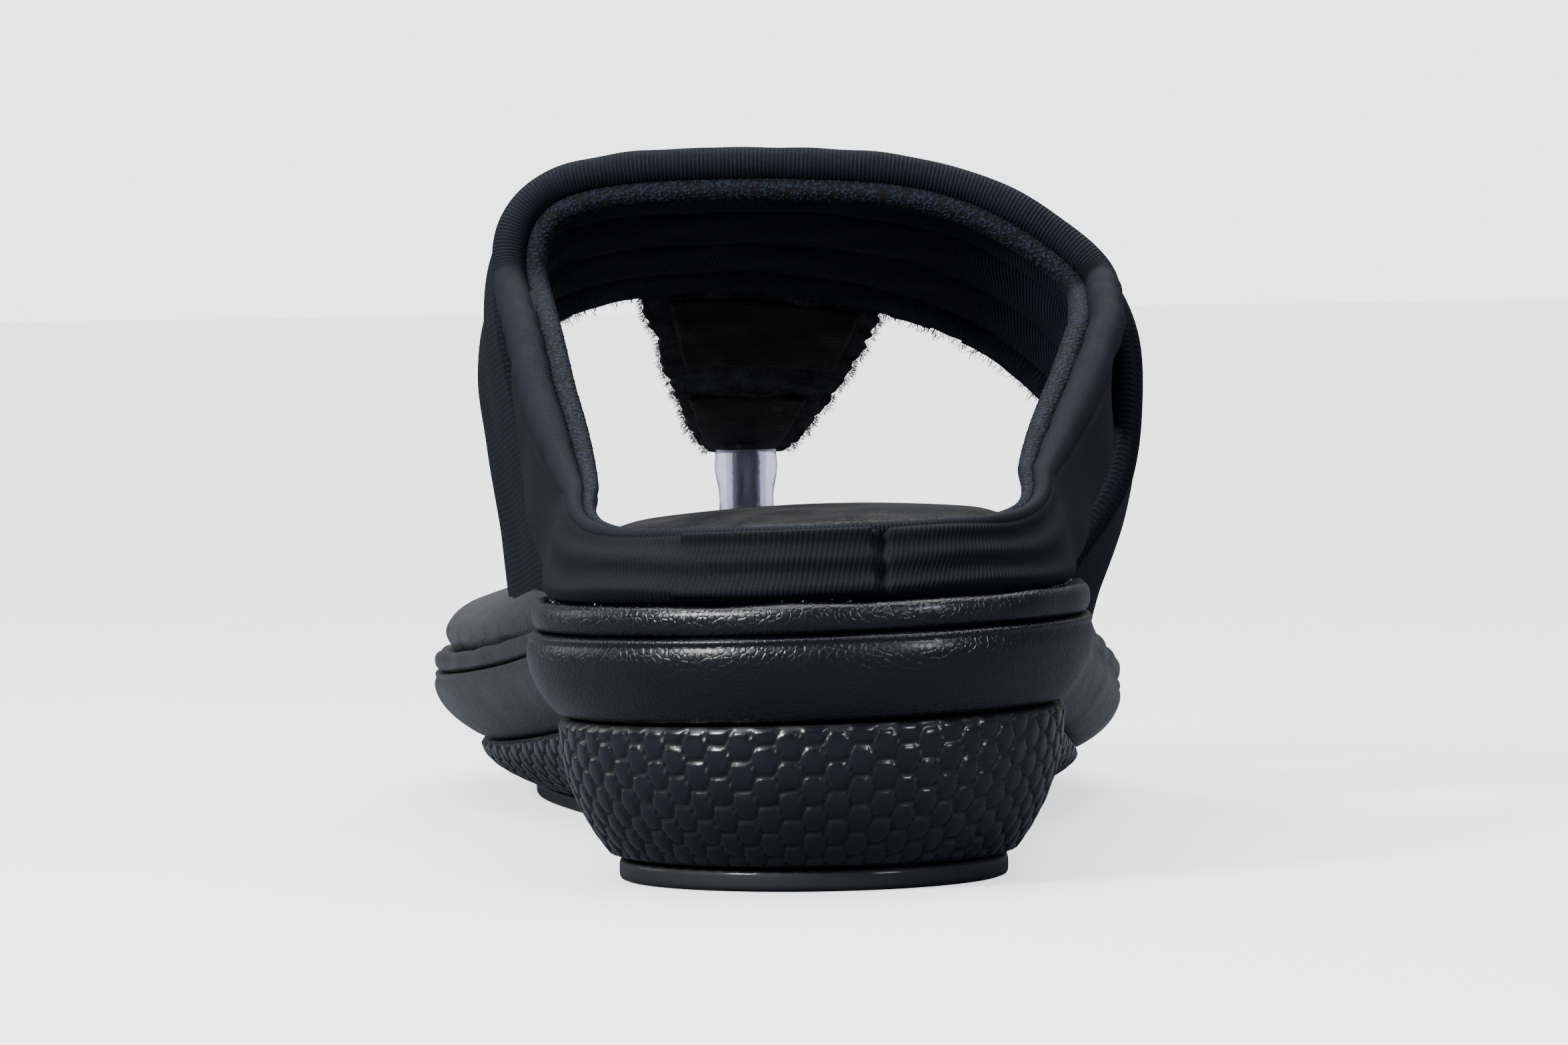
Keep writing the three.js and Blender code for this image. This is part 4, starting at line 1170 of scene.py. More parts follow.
@dataclass(frozen=True)
class Footbed:
    """Padded footbed that swells over the rim, with crumbs of glue in the crevice round it."""

    shape: SoleShape = SoleShape()
    voxel: float = 2.2
    pressure: float = 4.0
    cap: float = 2.2
    gap: float = 0.3
    skirt: float = 3.5
    heel_inset: float = 7.0
    medial_inset: float = 1.6
    lateral_inset: float = 5.6
    glue_count: int = 110

    def inset(self, loop: Loop) -> Array:
        """Edge inset of the swell, eased from the heel's to one for each side over y 55 to 100."""
        fore = np.where(loop.medial > 0, self.medial_inset, self.lateral_inset)
        return mix(self.heel_inset, fore, ease((loop.y - 55.0) / 45.0))[None]

    def pillow(self) -> bpy.types.Object:
        """Crowned closed form through six rings, then filled like a cushion.

        The rings' insets and heights over the rim are joined by smooth curves up the side.
        """
        shape = self.shape
        loop = shape.loop(170)
        swell = self.inset(loop)
        skirt = np.full_like(swell, self.skirt)
        insets = np.concatenate([skirt, skirt, swell + 0.6, swell, swell + 2.2, swell + 6.5])
        rise = np.array([0.0, 0.12, 0.4, 0.78, 0.95])
        x, y = loop.inset(insets)
        z = np.empty_like(x)
        z[0] = shape.board_top(x[0], y[0]) + self.gap
        z[1:] = shape.rim_top(x[1:], y[1:]) + self.gap + (rise[:, None] * shape.crown(y[1:]))
        z[1] -= 0.5
        rings = np.stack([x, y, z], axis=2)
        side = through(rings.reshape(6, -1), 20).reshape(21, -1, 3)
        spine = np.stack([loop.spine_x, loop.spine_y], axis=1)[None]
        inwards = np.array([0.15, 0.35, 0.6, 0.8, 1.0])[:, None, None]
        foot = mix(side[:1, :, :2], spine, inwards)[::-1]
        head = mix(side[-1:, :, :2], spine, inwards)
        foot_z = (shape.board_top(foot[..., 0], foot[..., 1]) + self.gap)[..., None]
        rim = shape.rim_top(head[..., 0], head[..., 1]) + self.gap
        crown = shape.crown(head[..., 1])
        bulge = 0.95 + 0.05 * np.sin(inwards[..., 0] * math.pi / 2)
        head_z = (rim + crown * bulge)[..., None]
        base, dome = np.concatenate([foot, foot_z], axis=2), np.concatenate([head, head_z], axis=2)
        obj = from_grid("footbed_pillow", np.concatenate([base, side, dome]))
        puffed(obj, self.voxel, self.pressure, self.cap, self.hold)
        return obj

    def hold(self, points: Array) -> Array:
        """How firmly the cushion is held, one up to the rim's height and nothing half way up the crown."""
        x, y, z = points.T
        return 1 - ease((z - self.shape.rim_top(x, y)) / 5.0)

    def crumbs(self) -> bpy.types.Object:
        """Glue crumbs and lint, scattered in the crevice between rim and cushion."""
        shape = self.shape
        rng = np.random.default_rng(23)
        loop = shape.loop(900)
        heel = np.flatnonzero(loop.y < 20)
        count = self.glue_count
        pick = rng.choice(heel, count)
        amount = rng.uniform(2.6, 4.4, count)
        dx, dy = loop.spine_x[pick] - loop.x[pick], loop.spine_y[pick] - loop.y[pick]
        length = np.hypot(dx, dy)
        x = loop.x[pick] + dx / length * amount
        y = loop.y[pick] + dy / length * amount
        z = shape.rim_top(x, y) + rng.uniform(-0.3, 0.35, count)
        radii = rng.uniform(0.05, 0.2, count)
        return specks("glue_crumbs", np.stack([x, y, z], axis=1), radii)

    def build(self) -> None:
        """Makes and dresses the footbed's pieces."""
        stands_for = ("footbed_cover", "footbed_foam")
        pillow = shown(self.pillow(), FOOTBED_SKIN, "footbed_leather", "shoe", *stands_for)
        shown(self.crumbs(), DRY_GLUE, "footbed_leather", "shoe")


# ---------------------------------------------------------------- instep band


@dataclass(frozen=True)
class BandShape:
    """The instep band's outer face: an arch over the foot, carried from rear edge to front edge."""

    sole: SoleShape = SoleShape()
    rear_y: float = 79.0
    front_y: float = 128.0
    top_lean: float = 6.0
    leg_tuck: float = 5.5
    leg_inset: float = 3.9
    bend: float = 7.0
    anchor_length: float = 9.0
    rear: tuple[Pair, ...] = (
        (-36.5, 44), (-39, 57), (-41, 70), (-40.4, 79), (-35.5, 85), (-26, 87.8), (-12, 88.6), (2, 88.3),
        (14, 87.1), (24, 84.2), (33, 79.2), (40, 73), (44, 65), (44.6, 56), (42.6, 45),
    )
    front: tuple[Pair, ...] = (
        (-42.4, 38), (-44, 48), (-45, 57), (-42.8, 65), (-36, 70.8), (-26, 74), (-13, 75), (-1, 74.2),
        (10, 72), (20, 68.8), (29, 64), (36.5, 57.5), (41.5, 50), (43.2, 42), (42.6, 35),
    )

    def anchor(self, side: Side, y: float) -> Array:
        """x and z of one leg's foot: out from under the cushion, round a quarter bend and up."""
        sign = side.value
        tuck = self.leg_tuck * float(ease((y - self.rear_y) / (self.front_y - self.rear_y)))
        inset = self.leg_inset + (tuck if side is Side.MEDIAL else 0.0)
        leg = float(self.sole.edge_x(side, np.array(y))) - sign * inset
        centre = leg - sign * self.bend
        turn = np.linspace(0, math.pi / 2, 4)[1:]
        flat = [centre - sign * self.anchor_length, centre - sign * self.anchor_length / 3]
        x = np.concatenate([flat, centre + sign * self.bend * np.sin(turn)])
        rise = np.concatenate([[0, 0], self.bend * (1 - np.cos(turn))])
        z = self.sole.board_top(x, np.full_like(x, y)) + 0.5 + rise
        return np.stack([x, z], axis=1)

    def section(self, share: float, count: int) -> Array:
        """Curve of the outer face across the foot, a share of the way from rear to front.

        The control points of the two edges are blended by the share. Near the rear edge the
        top leans forwards by up to top_lean.
        """
        y = mix(self.rear_y, self.front_y, share)
        arch = mix(np.array(self.rear, float), np.array(self.front, float), share)
        legs = [self.anchor(Side.MEDIAL, y), self.anchor(Side.LATERAL, y)[::-1]]
        flat = np.concatenate([legs[0], arch, legs[1]])
        lean = (1 - share) * self.top_lean * ease((flat[:, 1] - 62.0) / 26.6)
        return through(np.stack([flat[:, 0], y + lean, flat[:, 1]], axis=1), count)

    def face(self, rows: int, columns: int) -> Array:
        """Grid over the outer face."""
        return np.stack([self.section(s, columns) for s in np.linspace(0, 1, rows)])


@dataclass(frozen=True)
class Band:
    """Padded band, its ribbed lining with sewn channels, and the fibres of its raw front edge."""

    shape: BandShape = BandShape()
    pad: float = 4.1
    lining_depth: float = 4.5
    lining: float = 0.7
    channels: tuple[float, ...] = (0.2, 0.5, 0.78)
    quilting: float = 0.75
    fraying: float = 1.6
    yarn_ends: int = 900
    centre: Spot = (0.0, 100.0, 45.0)

    def puff(self, shares: Array) -> Array:
        """Swell between sewn channels: the square root of a sine over each gap between them."""
        marks = np.array([0.0, *self.channels, 1.0])
        i = np.clip(np.searchsorted(marks, shares, side="right") - 1, 0, len(marks) - 2)
        local = (shares - marks[i]) / (marks[i + 1] - marks[i])
        return np.sqrt(np.sin(math.pi * np.clip(local, 0, 1)).clip(0))

    def body(self) -> bpy.types.Object:
        """Foam pad in its knit cover, round at both edges."""
        shares = np.linspace(0, 1, 70)
        grid = self.shape.face(70, 380)
        swell = 0.5 * np.sin(math.pi * shares) ** 0.5
        loose = 0.35 * ripple(grid, 30.0, 3)
        return pad_of("band_fabric", grid, self.centre, 0.3, self.pad, 2.0, swell[:, None] + loose)

    def inner_face(self) -> bpy.types.Object:
        """Ribbed lining, drawn in along its channels and frayed at the front."""
        shares = np.linspace(0, 1, 96)
        grid = self.shape.face(96, 420)
        rng = np.random.default_rng(7)
        fray = smoothed(rng.normal(size=(421, 1)), 3)[:, 0]
        fray = self.fraying * fray / np.abs(fray).max()
        grid[..., 1] += fray[None] * (shares[:, None] ** 6)
        puff = -self.quilting * self.puff(shares)[:, None] - 0.15 * ripple(grid, 14.0, 9)
        return pad_of("band_lining_fabric", grid, self.centre, self.lining_depth, self.lining, 0.4, puff)

    def edge_fibres(self) -> bpy.types.Object:
        """Yarn ends along the front edge, splayed down and forwards."""
        rng = np.random.default_rng(31)
        count = self.yarn_ends
        edge = self.shape.section(1.0, 4000)
        normals = grid_normals(np.stack([self.shape.section(0.98, 4000), edge]), self.centre)[1]
        usable = np.flatnonzero(edge[:, 2] > 40)
        pick = rng.choice(usable, count)
        depth = self.lining_depth + 0.35 + rng.uniform(-0.4, 0.5, count)
        roots = edge[pick] - normals[pick] * depth[:, None]
        spread = rng.normal(scale=0.35, size=(count, 3)) + np.array([0.0, 0.6, 0.0]) - normals[pick] * 0.7
        tips = roots + unit(spread) * rng.uniform(0.5, 1.9, count)[:, None]
        return fibres("lining_edge_fibres", roots, tips, rng.normal(scale=0.25, size=(count, 3)), 0.06)

    def build(self) -> None:
        """Makes and dresses the band's pieces."""
        body = shown(self.body(), OUTER_KNIT, "outer_knit", "shoe", "band_shell", "band_foam")
        lining = shown(self.inner_face(), LINING_RIB, "ribbed_lining", "shoe", "band_lining")
        ends = shown(self.edge_fibres(), LINING_RIB, "ribbed_lining", "shoe")
        size = self.cut_size()

    def cut_size(self) -> Pair:
        """Width and length in metres that the lining was cut to, the mean lengths across and along it."""
        face = self.shape.face(40, 300)
        face = face - grid_normals(face, self.centre) * (self.lining_depth + self.lining / 2)
        across = np.linalg.norm(np.diff(face, axis=1), axis=2).sum(1).mean()
        along = np.linalg.norm(np.diff(face, axis=0), axis=2).sum(0).mean()
        return float(along * MM), float(across * MM)


# ---------------------------------------------------------------- heel sling


@dataclass(frozen=True)
class SlingShape:
    """Path and heights of the heel sling, from one tab round the heel to the other."""

    sole: SoleShape = SoleShape()
    radius: float = 32.6
    pivot: Pair = (78.0, 62.0)
    pivot_x: Pair = (39.8, 43.8)
    tab: float = 10.0
    under_band: float = 7.0
    end_widening: float = 1.4
    heel_height: float = 8.2
    corner_rise: float = 5.0

    def half(self, side: Side, count: int) -> Array:
        """Stations x, y, and the level direction inwards, from the heel's back to the tab's end."""
        reach = self.pivot_x[0 if side is Side.MEDIAL else 1]
        angle = np.linspace(0, math.pi / 2, count)[:-1]
        share = np.linspace(0, 1, count * 2)
        x = np.concatenate([self.radius * np.sin(angle), mix(self.radius, reach, ease(share))])
        y = np.concatenate([-self.radius * np.cos(angle), share * (self.pivot[0] + self.under_band)])
        in_x = np.concatenate([-np.sin(angle), -np.ones(count * 2)])
        in_y = np.concatenate([np.cos(angle), np.zeros(count * 2)])
        return np.stack([side.value * x, y, side.value * in_x, in_y], axis=1)

    def stations(self, count: int) -> Array:
        """Stations from the medial tab's end, round the heel, to the lateral tab's end."""
        return np.vstack([self.half(Side.MEDIAL, count)[:0:-1], self.half(Side.LATERAL, count)])

    def heights(self, x: Array, y: Array) -> tuple[Array, Array]:
        """Middle height and half height, eased from the low heel part up to the tab.

        The upper edge starts to rise on the heel's corners, a square law from y -24 to y 2,
        so that it curves up into the sides, while the lower edge stays on the rim. The end
        that runs in under the band is wider and lies higher, from y 57 on.
        """
        low_half = self.heel_height / 2 + self.corner_rise / 2 * np.clip((y + 24.0) / 26.0, 0, 1) ** 2
        low = self.sole.rim_top(x, y) + 0.5 + low_half
        rise = ease((y - 2.0) / (self.pivot[0] - self.tab - 2.0))
        wider = self.end_widening * ease((y - 57.0) / 12.0)
        middle = mix(low, self.pivot[1] - 1.5, rise) + wider
        return middle, mix(low_half, self.tab - 2.5, rise) + wider

    def face(self, rows: int, count: int) -> Array:
        """Outer face: each station's upright line, leaning in towards the cushion as it rises."""
        s = self.stations(count)
        middle, half = self.heights(s[:, 0], s[:, 1])
        lean = mix(0.36, -0.05, ease((s[:, 1] + 20.0) / 60.0))
        w = np.linspace(-1, 1, rows)[:, None]
        inwards = lean * half * (1 + w)
        x = s[:, 0] + s[:, 2] * inwards
        y = s[:, 1] + s[:, 3] * inwards
        return np.stack([x, y, middle + w * half], axis=2)


@dataclass(frozen=True)
class Sling:
    """Padded sling, its back patch, and the two rolls that edge both it and the band's collar."""

    shape: SlingShape = SlingShape()
    band: BandShape = BandShape()
    thickness: float = 3.4
    side_padding: float = 1.6
    seam_x: float = 8.0
    end_tuck: float = 3.9
    end_thinning: float = 1.0
    patch: Pair = (-15.6, 7.4)
    sewn_in: float = 0.4
    roll_overlap: float = 0.2
    collar_low_z: float = 71.5
    sling_end_y: float = 54.0
    join_rounds: int = 220
    roll_centre: Spot = (0.0, 40.0, 60.0)
    centre: Spot = (0.0, 40.0, 45.0)
    fold_height: float = 0.26
    slit_depth: float = 0.9
    bend_start: Spot = (0.0, 0.086, 0.076)
    bend_end: Spot = (0.0, 0.064, 0.060)

    def folds(self, grid: Array) -> Array:
        """Level folds of slack cloth, a little more than two over the grid's height."""
        share = np.linspace(0, 1, grid.shape[0])[:, None]
        return self.fold_height * np.sin(2 * math.pi * (share * 2.2 + 0.12 * ripple(grid, 30.0, 4)))

    def strap(self) -> bpy.types.Object:
        """The wrap of outer knit, elastic and lining, folded behind the heel.

        From y 44 on it gets thinner and is tucked in, so that its ends lie under the band.
        """
        grid = self.shape.face(48, 120)
        x, y = grid[..., 0], grid[..., 1]
        back = 1 - ease((y + 12.0) / 20.0)
        folds = self.folds(grid) * back
        slack = 0.3 * ripple(grid * np.array([1, 1, 2.0]), 22.0, 8)
        slit = -self.slit_depth * np.exp(-(((x - self.seam_x - 0.6) / 0.45) ** 2)) * (y < 0)
        end = ease((y - 44.0) / 26.0)
        tuck = -self.end_tuck * end
        padding = self.side_padding * ease((y + 8.0) / 20.0) * (1 - end)
        thick = self.thickness + padding - self.end_thinning * end
        return pad_of("sling_wrap", grid, self.centre, 0.0, thick, 1.6, folds + slack + slit + tuck)

    def patch_over(self) -> bpy.types.Object:
        """Second layer behind the heel, ending at the slit beside the seam."""
        grid = self.shape.face(48, 480)
        row = grid[24]
        inside = (row[:, 1] < 0) & (row[:, 0] > self.patch[0]) & (row[:, 0] < self.patch[1])
        part = grid[2:-2, np.flatnonzero(inside)]
        relief = self.folds(part) + 0.3 * ripple(part, 22.0, 8)
        return pad_of("back_patch_layer", part, self.centre, -0.75, 0.8, 0.5, relief)

    def radii(self, y: Array) -> tuple[Array, Array]:
        """Radius of the outer and of the lining roll, both thinner behind the heel."""
        side = ease((y + 15.0) / 50.0)
        return mix(0.9, 2.3, side), mix(0.7, 1.5, side)

    def roll_depth(self, y: Array, inner: bool) -> Array:
        """Depth of a roll's middle: the outer roll's own radius, or just touching it from inside."""
        outer, lining = self.radii(y)
        return 2 * outer + lining - self.roll_overlap if inner else outer

    def edge_path(self, inner: bool) -> Array:
        """Closed path along the collar's rear edge and down the sling's upper edge round the heel.

        On the collar the outer roll lies a radius under the outer face and nearly a radius
        behind the edge, sewn in a little. On the sling it lies a radius inwards from the upper
        edge. The lining roll touches it. Smoothing joins the two parts across the tabs.
        """
        columns = 1200
        rear, next_row = self.band.section(0.0, columns), self.band.section(0.1, columns)
        normals = grid_normals(np.stack([rear, next_row]), Band.centre)[0]
        y = rear[:, 1:2]
        behind = unit(rear - next_row) * (self.radii(y)[0] - self.sewn_in)
        collar = rear - normals * self.roll_depth(y, inner) + behind
        collar = collar[rear[:, 2] > self.collar_low_z]
        top = self.shape.face(3, 300)
        stations = self.shape.stations(300)
        y = stations[:, 1:2]
        lift = self.radii(y)[1 if inner else 0] * mix(-0.7, 0.2, ease((y + 4.0) / 30.0))
        inwards = stations[:, 2:4] * self.roll_depth(y, inner)
        sling = top[2] + np.concatenate([inwards, lift], axis=1)
        sling = sling[sling[:, 1] < self.sling_end_y]
        path = evenly(np.vstack([collar, sling[::-1]]), 2000, closed=True)
        return evenly(smoothed(path, self.join_rounds), 1500, closed=True)

    def collar_roll(self) -> bpy.types.Object:
        """Outer knit roll, thinner behind the heel."""
        path = self.edge_path(inner=False)
        radius = self.radii(path[:, 1])[0]
        soft = 0.04 * np.repeat(ripple(path, 11.0, 12)[:, None], 22, axis=1)
        return tube_of("collar_roll_loop", path, radius, np.array(self.roll_centre), 22, soft)

    def lining_roll(self) -> bpy.types.Object:
        """Lining roll of looped yarn, whose loops stand up as small bumps."""
        path = self.edge_path(inner=True)
        radius = self.radii(path[:, 1])[1]
        sides = 26
        angle = np.linspace(0, 2 * math.pi, sides, endpoint=False)[None]
        run = np.arange(len(path))[:, None] * 1.0
        loops = 0.07 * np.sin(run * 2.1 + 2.0 * np.sin(angle * 5)) * np.sin(angle * 6 + run * 0.9)
        return tube_of("lining_roll_loop", path, radius, np.array(self.roll_centre), sides, loops)

    def bend(self, obj: bpy.types.Object) -> None:
        """Bakes the piece's placement into its mesh and reports its number of triangles."""
        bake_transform(obj)
        LOG.info("%s: %d triangles", obj.name, len(obj.data.polygons))

    def build(self) -> None:
        """Makes and dresses the sling's pieces."""
        strap = self.strap()
        dress(strap, SLING_KNIT)
        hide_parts("sling_sleeve_medial", "sling_sleeve_lateral", "sling_elastic", "sling_lining")
        self.bend(strap)
        patch = shown(self.patch_over(), SLING_KNIT, "outer_knit", "heel_sling", "back_patch")
        outer = self.collar_roll()
        dress(outer, ROLL_KNIT)
        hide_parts("collar_roll")
        self.bend(outer)
        inner = self.lining_roll()
        dress(inner, LOOPED_YARN)
        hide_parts("lining_roll")
        self.bend(inner)


# ---------------------------------------------------------------- tongue and toe post


@dataclass(frozen=True)
class Tongue:
    """Tongue from the band to the toe post: knit above, felt and two tapes underneath."""

    band: BandShape = BandShape()
    top_half: float = 16.8
    tip_half: float = 4.6
    top_x: float = -5.5
    post: Pair = (-8.3, 161.0)
    tip_y: float = 165.5
    tip_z: float = 48.5
    knit_thickness: float = 0.9
    felt_thickness: float = 1.2
    tape_depth: float = 2.35
    tape_thickness: float = 0.5
    fibre_count: int = 2600
    centre: Spot = (-8.0, 140.0, 0.0)

    def face(self, across: Pair, along: Pair, rows: int, columns: int) -> Array:
        """Upper face. It narrows from band to post by the power 1.15 and drops by the power 1.35."""
        s = np.linspace(*along, rows)[:, None]
        a = np.linspace(*across, columns)[None]
        width = mix(self.top_half, self.tip_half, np.maximum(0, s) ** 1.15)
        x = mix(self.top_x, self.post[0], ease(s)) + a * width
        edge = self.band.section(1.0, 400)
        arch = edge[edge[:, 2] > 60.0]
        z_band = np.interp(x, arch[:, 0], arch[:, 2]) - 2.5
        y = np.broadcast_to(mix(self.band.front_y + 0.6, self.tip_y, s), x.shape)
        z = mix(self.tip_z, z_band, np.maximum(0, 1 - s) ** 1.35)
        return np.stack([x, y, z], axis=2)

    def ragged(self, grid: Array, seed: int, amount: float) -> Array:
        """The grid with its two long edges moved in and out by smooth seeded noise."""
        rng = np.random.default_rng(seed)
        rows, columns = grid.shape[:2]
        noise = smoothed(rng.normal(size=(rows, 2)), 2) * amount
        edge = np.linspace(-1, 1, columns)[None] ** 7
        grid = grid.copy()
        grid[..., 0] += np.where(edge < 0, noise[:, :1], noise[:, 1:]) * np.abs(edge)
        return grid

    def fuzz(self, grid: Array) -> bpy.types.Object:
        """Felt fibres round the tongue's edges and over its underside."""
        rng = np.random.default_rng(77)
        normals = grid_normals(grid, self.centre)
        rows, columns = grid.shape[:2]
        count = self.fibre_count
        row = rng.integers(0, rows, count)
        side = rng.integers(0, 2, count) * (columns - 1)
        middle = rng.uniform(size=count) < 0.45
        column = np.where(middle, rng.integers(0, columns, count), side)
        roots = grid[row, column] - normals[row, column] * rng.uniform(1.3, 2.4, count)[:, None]
        outwards = np.sign(column - columns / 2)[:, None] * np.array([1.0, 0.0, 0.0]) * (~middle)[:, None]
        spread = outwards - normals[row, column] * 0.8 + rng.normal(scale=0.6, size=(count, 3))
        reach = rng.uniform(0.3, 1.3, count) * np.where(middle, 0.7, 1.0)
        tips = roots + unit(spread) * reach[:, None]
        return fibres("tongue_felt_fibres", roots, tips, rng.normal(scale=0.2, size=(count, 3)), 0.045)

    def tape(self, name: str, face: Array, seed: int) -> bpy.types.Object:
        """A slightly wrinkled strip of tape under the felt."""
        wrinkles = 0.12 * ripple(face, 8.0, seed)
        return pad_of(name, face, self.centre, self.tape_depth, self.tape_thickness, 0.25, wrinkles)

    def build(self) -> None:
        """Makes and dresses the tongue's pieces."""
        outer = self.face((-1, 1), (0, 1), 80, 60)
        knit = pad_of("tongue_top_knit", outer, self.centre, 0.0, self.knit_thickness, 0.4)
        top = shown(knit, OUTER_KNIT, "outer_knit", "shoe", "tongue_shell")
        under = self.ragged(self.face((-1.02, 1.02), (-0.02, 0.93), 110, 70), 5, 0.5)
        wavy = 0.2 * ripple(under, 7.0, 2)
        thick = self.felt_thickness
        layer = pad_of("tongue_felt_layer", under, self.centre, 1.2, thick, 0.5, wavy)
        felt = shown(layer, GREY_FELT, "felt", "shoe", "tongue_felt")
        # The fuzz is painted lighter grey as backlight on the felt fibres.
        fuzz = shown(self.fuzz(under), BACKLIT_FELT_FUZZ, "felt", "shoe")
        tape_a = self.tape("tongue_tape_above", self.face((-0.8, 0.84), (0.05, 0.36), 36, 60), 6)
        tape_b = self.tape("tongue_tape_below", self.face((-0.84, 0.7), (0.52, 0.84), 36, 50), 3)
        shown(tape_a, BLACK_TAPE, "reinforcing_tape", "shoe", "tongue_tape_upper")
        shown(tape_b, BLACK_TAPE, "reinforcing_tape", "shoe", "tongue_tape_lower")


@dataclass(frozen=True)
class ToePost:
    """Webbing core in a clear sleeve, from the footbed up to the tongue's tip."""

    place: Pair = (-8.3, 161.0)
    foot_z: float = 16.0
    top_z: float = 47.4
    sleeve_radius: float = 4.0
    bore_radius: float = 2.9
    core_radius: float = 2.0
    core_flatness: float = 0.62

    def turned(self, name: str, profile: Array, sides: int, flat: float = 1.0) -> bpy.types.Object:
        """A profile of radius and height turned round the post's axis, squeezed in y by flat."""
        angle = np.linspace(0, 2 * math.pi, sides + 1)
        ring = np.stack([np.cos(angle), np.sin(angle) * flat], axis=1)
        radial = profile[:, None, :1] * ring[None]
        centre = np.array(self.place)
        z = np.broadcast_to(profile[:, None, 1:], (len(profile), sides + 1, 1))
        return from_grid(name, np.concatenate([radial + centre, z], axis=2))

    def sleeve(self) -> bpy.types.Object:
        """Clear sleeve with wall and bore, flaring softly at the top."""
        z = np.linspace(self.foot_z, self.top_z, 40)
        flare = 0.5 * ease((z - 42.0) / 4.0) + 0.15 * np.sin(z * 0.9)
        outer = np.stack([self.sleeve_radius + flare, z], axis=1)
        inner = np.stack([np.full_like(z, self.bore_radius), z], axis=1)[::-1]
        return self.turned("toe_post_tube", np.vstack([outer, inner, outer[:1]]), 64)

    def core(self) -> bpy.types.Object:
        """Flat webbing, a squeezed rod closed at both ends."""
        z = np.linspace(self.foot_z - 3, self.top_z - 0.2, 60)
        body = np.stack([self.core_radius + 0.1 * np.sin(z * 5.0), z], axis=1)
        ends = [np.array([[0.0, z[0]]]), body, np.array([[0.0, z[-1]]])]
        return self.turned("toe_post_webbing", np.vstack(ends), 40, self.core_flatness)

    def build(self) -> None:
        """Makes and dresses the post's sleeve and core."""
        shown(self.sleeve(), CLEAR_TPU, "clear_tpu", "shoe", "toe_post_sleeve")
        shown(self.core(), WEBBING, "post_webbing", "shoe", "toe_post_core")


# ---------------------------------------------------------------- studio


@dataclass(frozen=True)
class Lamp:
    """Square area light: its place and size in mm, its power in watts and its colour."""

    name: str
    at: Spot
    size: float
    power: float
    colour: str = "#ffffff"

    def place(self, aimed: Spot) -> None:
        """Puts the light in the scene, aimed at another place."""
        data = bpy.data.lights.new(self.name, "AREA")
        data.size = self.size * MM
        data.energy = self.power
        data.color = linear(self.colour)[:3]
        obj = bpy.data.objects.new(self.name, data)
        aim = Vector(aimed) - Vector(self.at)
        turn = aim.to_track_quat("-Z", "Y").to_matrix().to_4x4()
        obj.matrix_world = Matrix.Translation(Vector(self.at) * MM) @ turn
        bpy.context.scene.collection.objects.link(obj)


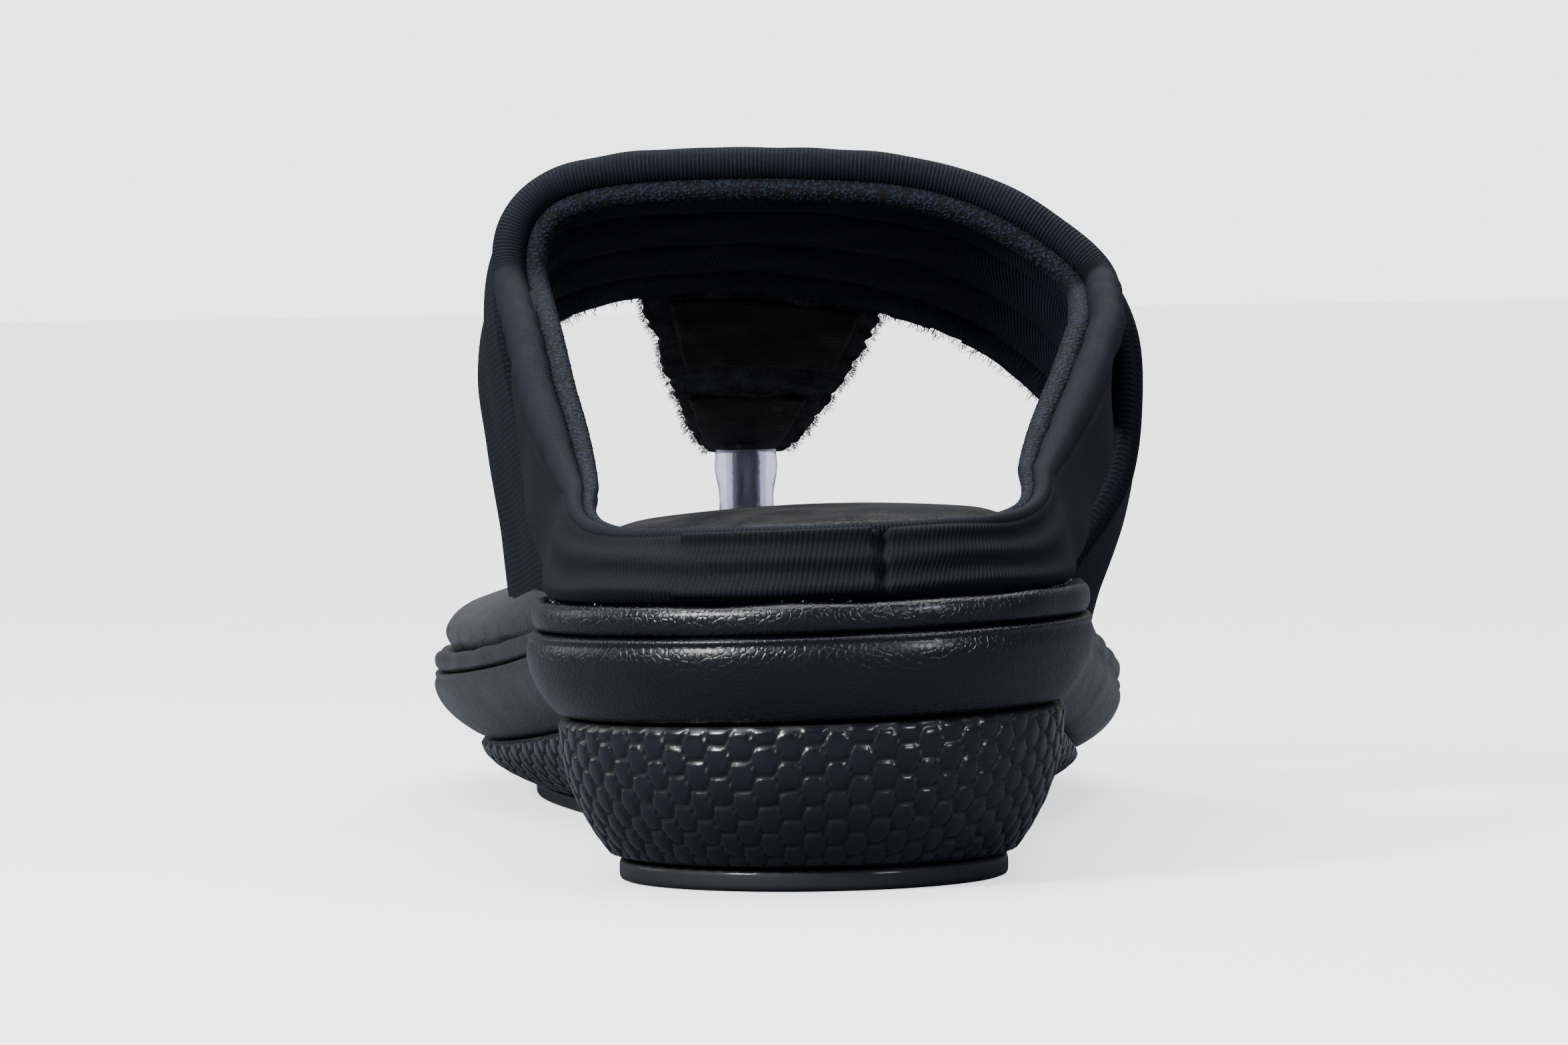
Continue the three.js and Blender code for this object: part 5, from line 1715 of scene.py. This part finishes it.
@dataclass(frozen=True)
class Studio:
    """Camera behind the heel, a wide pale floor, soft lights and pale air all round."""

    camera_at: Spot = (-3.0, -884.0, 75.0)
    pitch: float = 2.09
    roll: float = -0.85
    lens: float = 168.37
    lamps: tuple[Lamp, ...] = (
        Lamp("key", (-500.0, -450.0, 450.0), 200.0, 9.0),
        Lamp("fill", (560.0, -560.0, 330.0), 200.0, 2.2, "#eef2ff"),
        Lamp("edge_left", (-560.0, 260.0, 240.0), 300.0, 0.5),
    )
    aimed: Spot = (0.0, 40.0, 40.0)
    sky_tilt: float = 12.0
    sky_strength: float = 4.2
    air: str = "#f4f6fa"
    ambient: float = 0.2
    paleness: float = 3.4
    floor_lit: str = "#5c6068"
    floor_seen: str = "#f4f4f4"
    floor_glow: float = 1.5
    floor_reach: float = 9000.0
    floor_steps: int = 25

    def camera(self) -> None:
        """Long lens just above the collar's height, looking along the foot."""
        data = bpy.data.cameras.new("camera")
        data.lens = self.lens
        data.sensor_width = 36.0
        data.clip_end = 20.0
        obj = bpy.data.objects.new("camera", data)
        level = Matrix.Rotation(math.radians(90 - self.pitch), 4, "X")
        turn = level @ Matrix.Rotation(math.radians(self.roll), 4, "Z")
        obj.matrix_world = Matrix.Translation(Vector(self.camera_at) * MM) @ turn
        bpy.context.scene.collection.objects.link(obj)
        bpy.context.scene.camera = obj

    def sky(self) -> None:
        """Broad even light from overhead, like a ceiling of soft boxes, tilted towards the toes."""
        data = bpy.data.lights.new("overhead", "SUN")
        data.energy = self.sky_strength
        data.angle = math.radians(70.0)
        obj = bpy.data.objects.new("overhead", data)
        obj.matrix_world = Matrix.Rotation(math.radians(-self.sky_tilt), 4, "X")
        bpy.context.scene.collection.objects.link(obj)

    def seen_share(self, tree: bpy.types.NodeTree) -> bpy.types.NodeSocket:
        """1 for rays that look from the camera, also through clear plastic, and 0 for lighting rays."""
        rays = add(tree, "LightPath", {}, {})
        looked = {0: rays.outputs["Is Camera Ray"], 1: rays.outputs["Is Transmission Ray"]}
        return add(tree, "Math", {"operation": "MAXIMUM"}, looked).outputs[0]

    def floor(self) -> None:
        """Wide slab of paper under the shoe, a level grid with a second one below it.

        It is pale to the camera and darker to the light that falls back on the shoe.
        """
        steps = self.floor_steps
        line = np.linspace(-self.floor_reach, self.floor_reach, steps)
        x, y = np.meshgrid(line, line)
        grid = np.stack([x, y, np.full_like(x, -0.05)], axis=2)
        under = grid * np.array([1.0, 1.0, 0.0]) - np.array([0.0, 0.0, 20.0])
        both = np.vstack([grid.reshape(-1, 3), under.reshape(-1, 3)])
        faces = quads(steps, steps)
        floor = piece("studio_floor", both, np.vstack([faces[:, ::-1], faces + steps**2]))
        m = blank("paper_pale")
        t = m.node_tree
        at = add(t, "TexCoord", {}, {}).outputs["Object"]
        grain = add(t, "TexNoise", {}, {"Vector": at, "Scale": 1 / (3 * MM), "Detail": 2.0})
        seen = self.seen_share(t)
        shades = {0: seen, 6: linear(self.floor_lit), 7: linear(self.floor_seen)}
        shade = add(t, "Mix", {"data_type": "RGBA"}, shades)
        glow = add(t, "Math", {"operation": "MULTIPLY"}, {0: seen, 1: self.floor_glow})
        finished(
            m, shade.outputs[2], 0.9, grain.outputs["Fac"], 0.02, 0.1,
            Specular_IOR_Level=0.1, Emission_Color=linear(self.air), Emission_Strength=glow.outputs[0],
        )
        floor.data.materials.append(m)

    def build(self) -> None:
        """Sets up the world's pale surroundings, the lamps and the floor."""
        world = bpy.data.worlds.new("studio")
        bpy.context.scene.world = world
        world.use_nodes = True
        tree = world.node_tree
        tree.nodes.clear()
        seen = self.seen_share(tree)
        dim = add(tree, "Background", {}, {"Color": linear(self.air), "Strength": self.ambient})
        pale = add(tree, "Background", {}, {"Color": linear(self.air), "Strength": self.paleness})
        both = add(tree, "MixShader", {}, {0: seen, 1: dim.outputs[0], 2: pale.outputs[0]})
        add(tree, "OutputWorld", {}, {"Surface": both.outputs[0]})
        for lamp in self.lamps:
            lamp.place(self.aimed)
        self.sky()
        self.floor()


def main() -> None:
    """Builds the studio and every sub-assembly in order."""
    logging.basicConfig(level=logging.INFO, format="%(name)s: %(message)s")
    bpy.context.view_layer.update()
    studio = Studio()
    studio.camera()
    studio.build()
    for part in (Sole(), Footbed(), Band(), Sling(), Tongue(), ToePost()):
        part.build()
    dress(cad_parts["insole_board"], FIBREBOARD)
    dress(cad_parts["toe_post_washer"], NYLON)


if __name__ == "__main__":
    main()
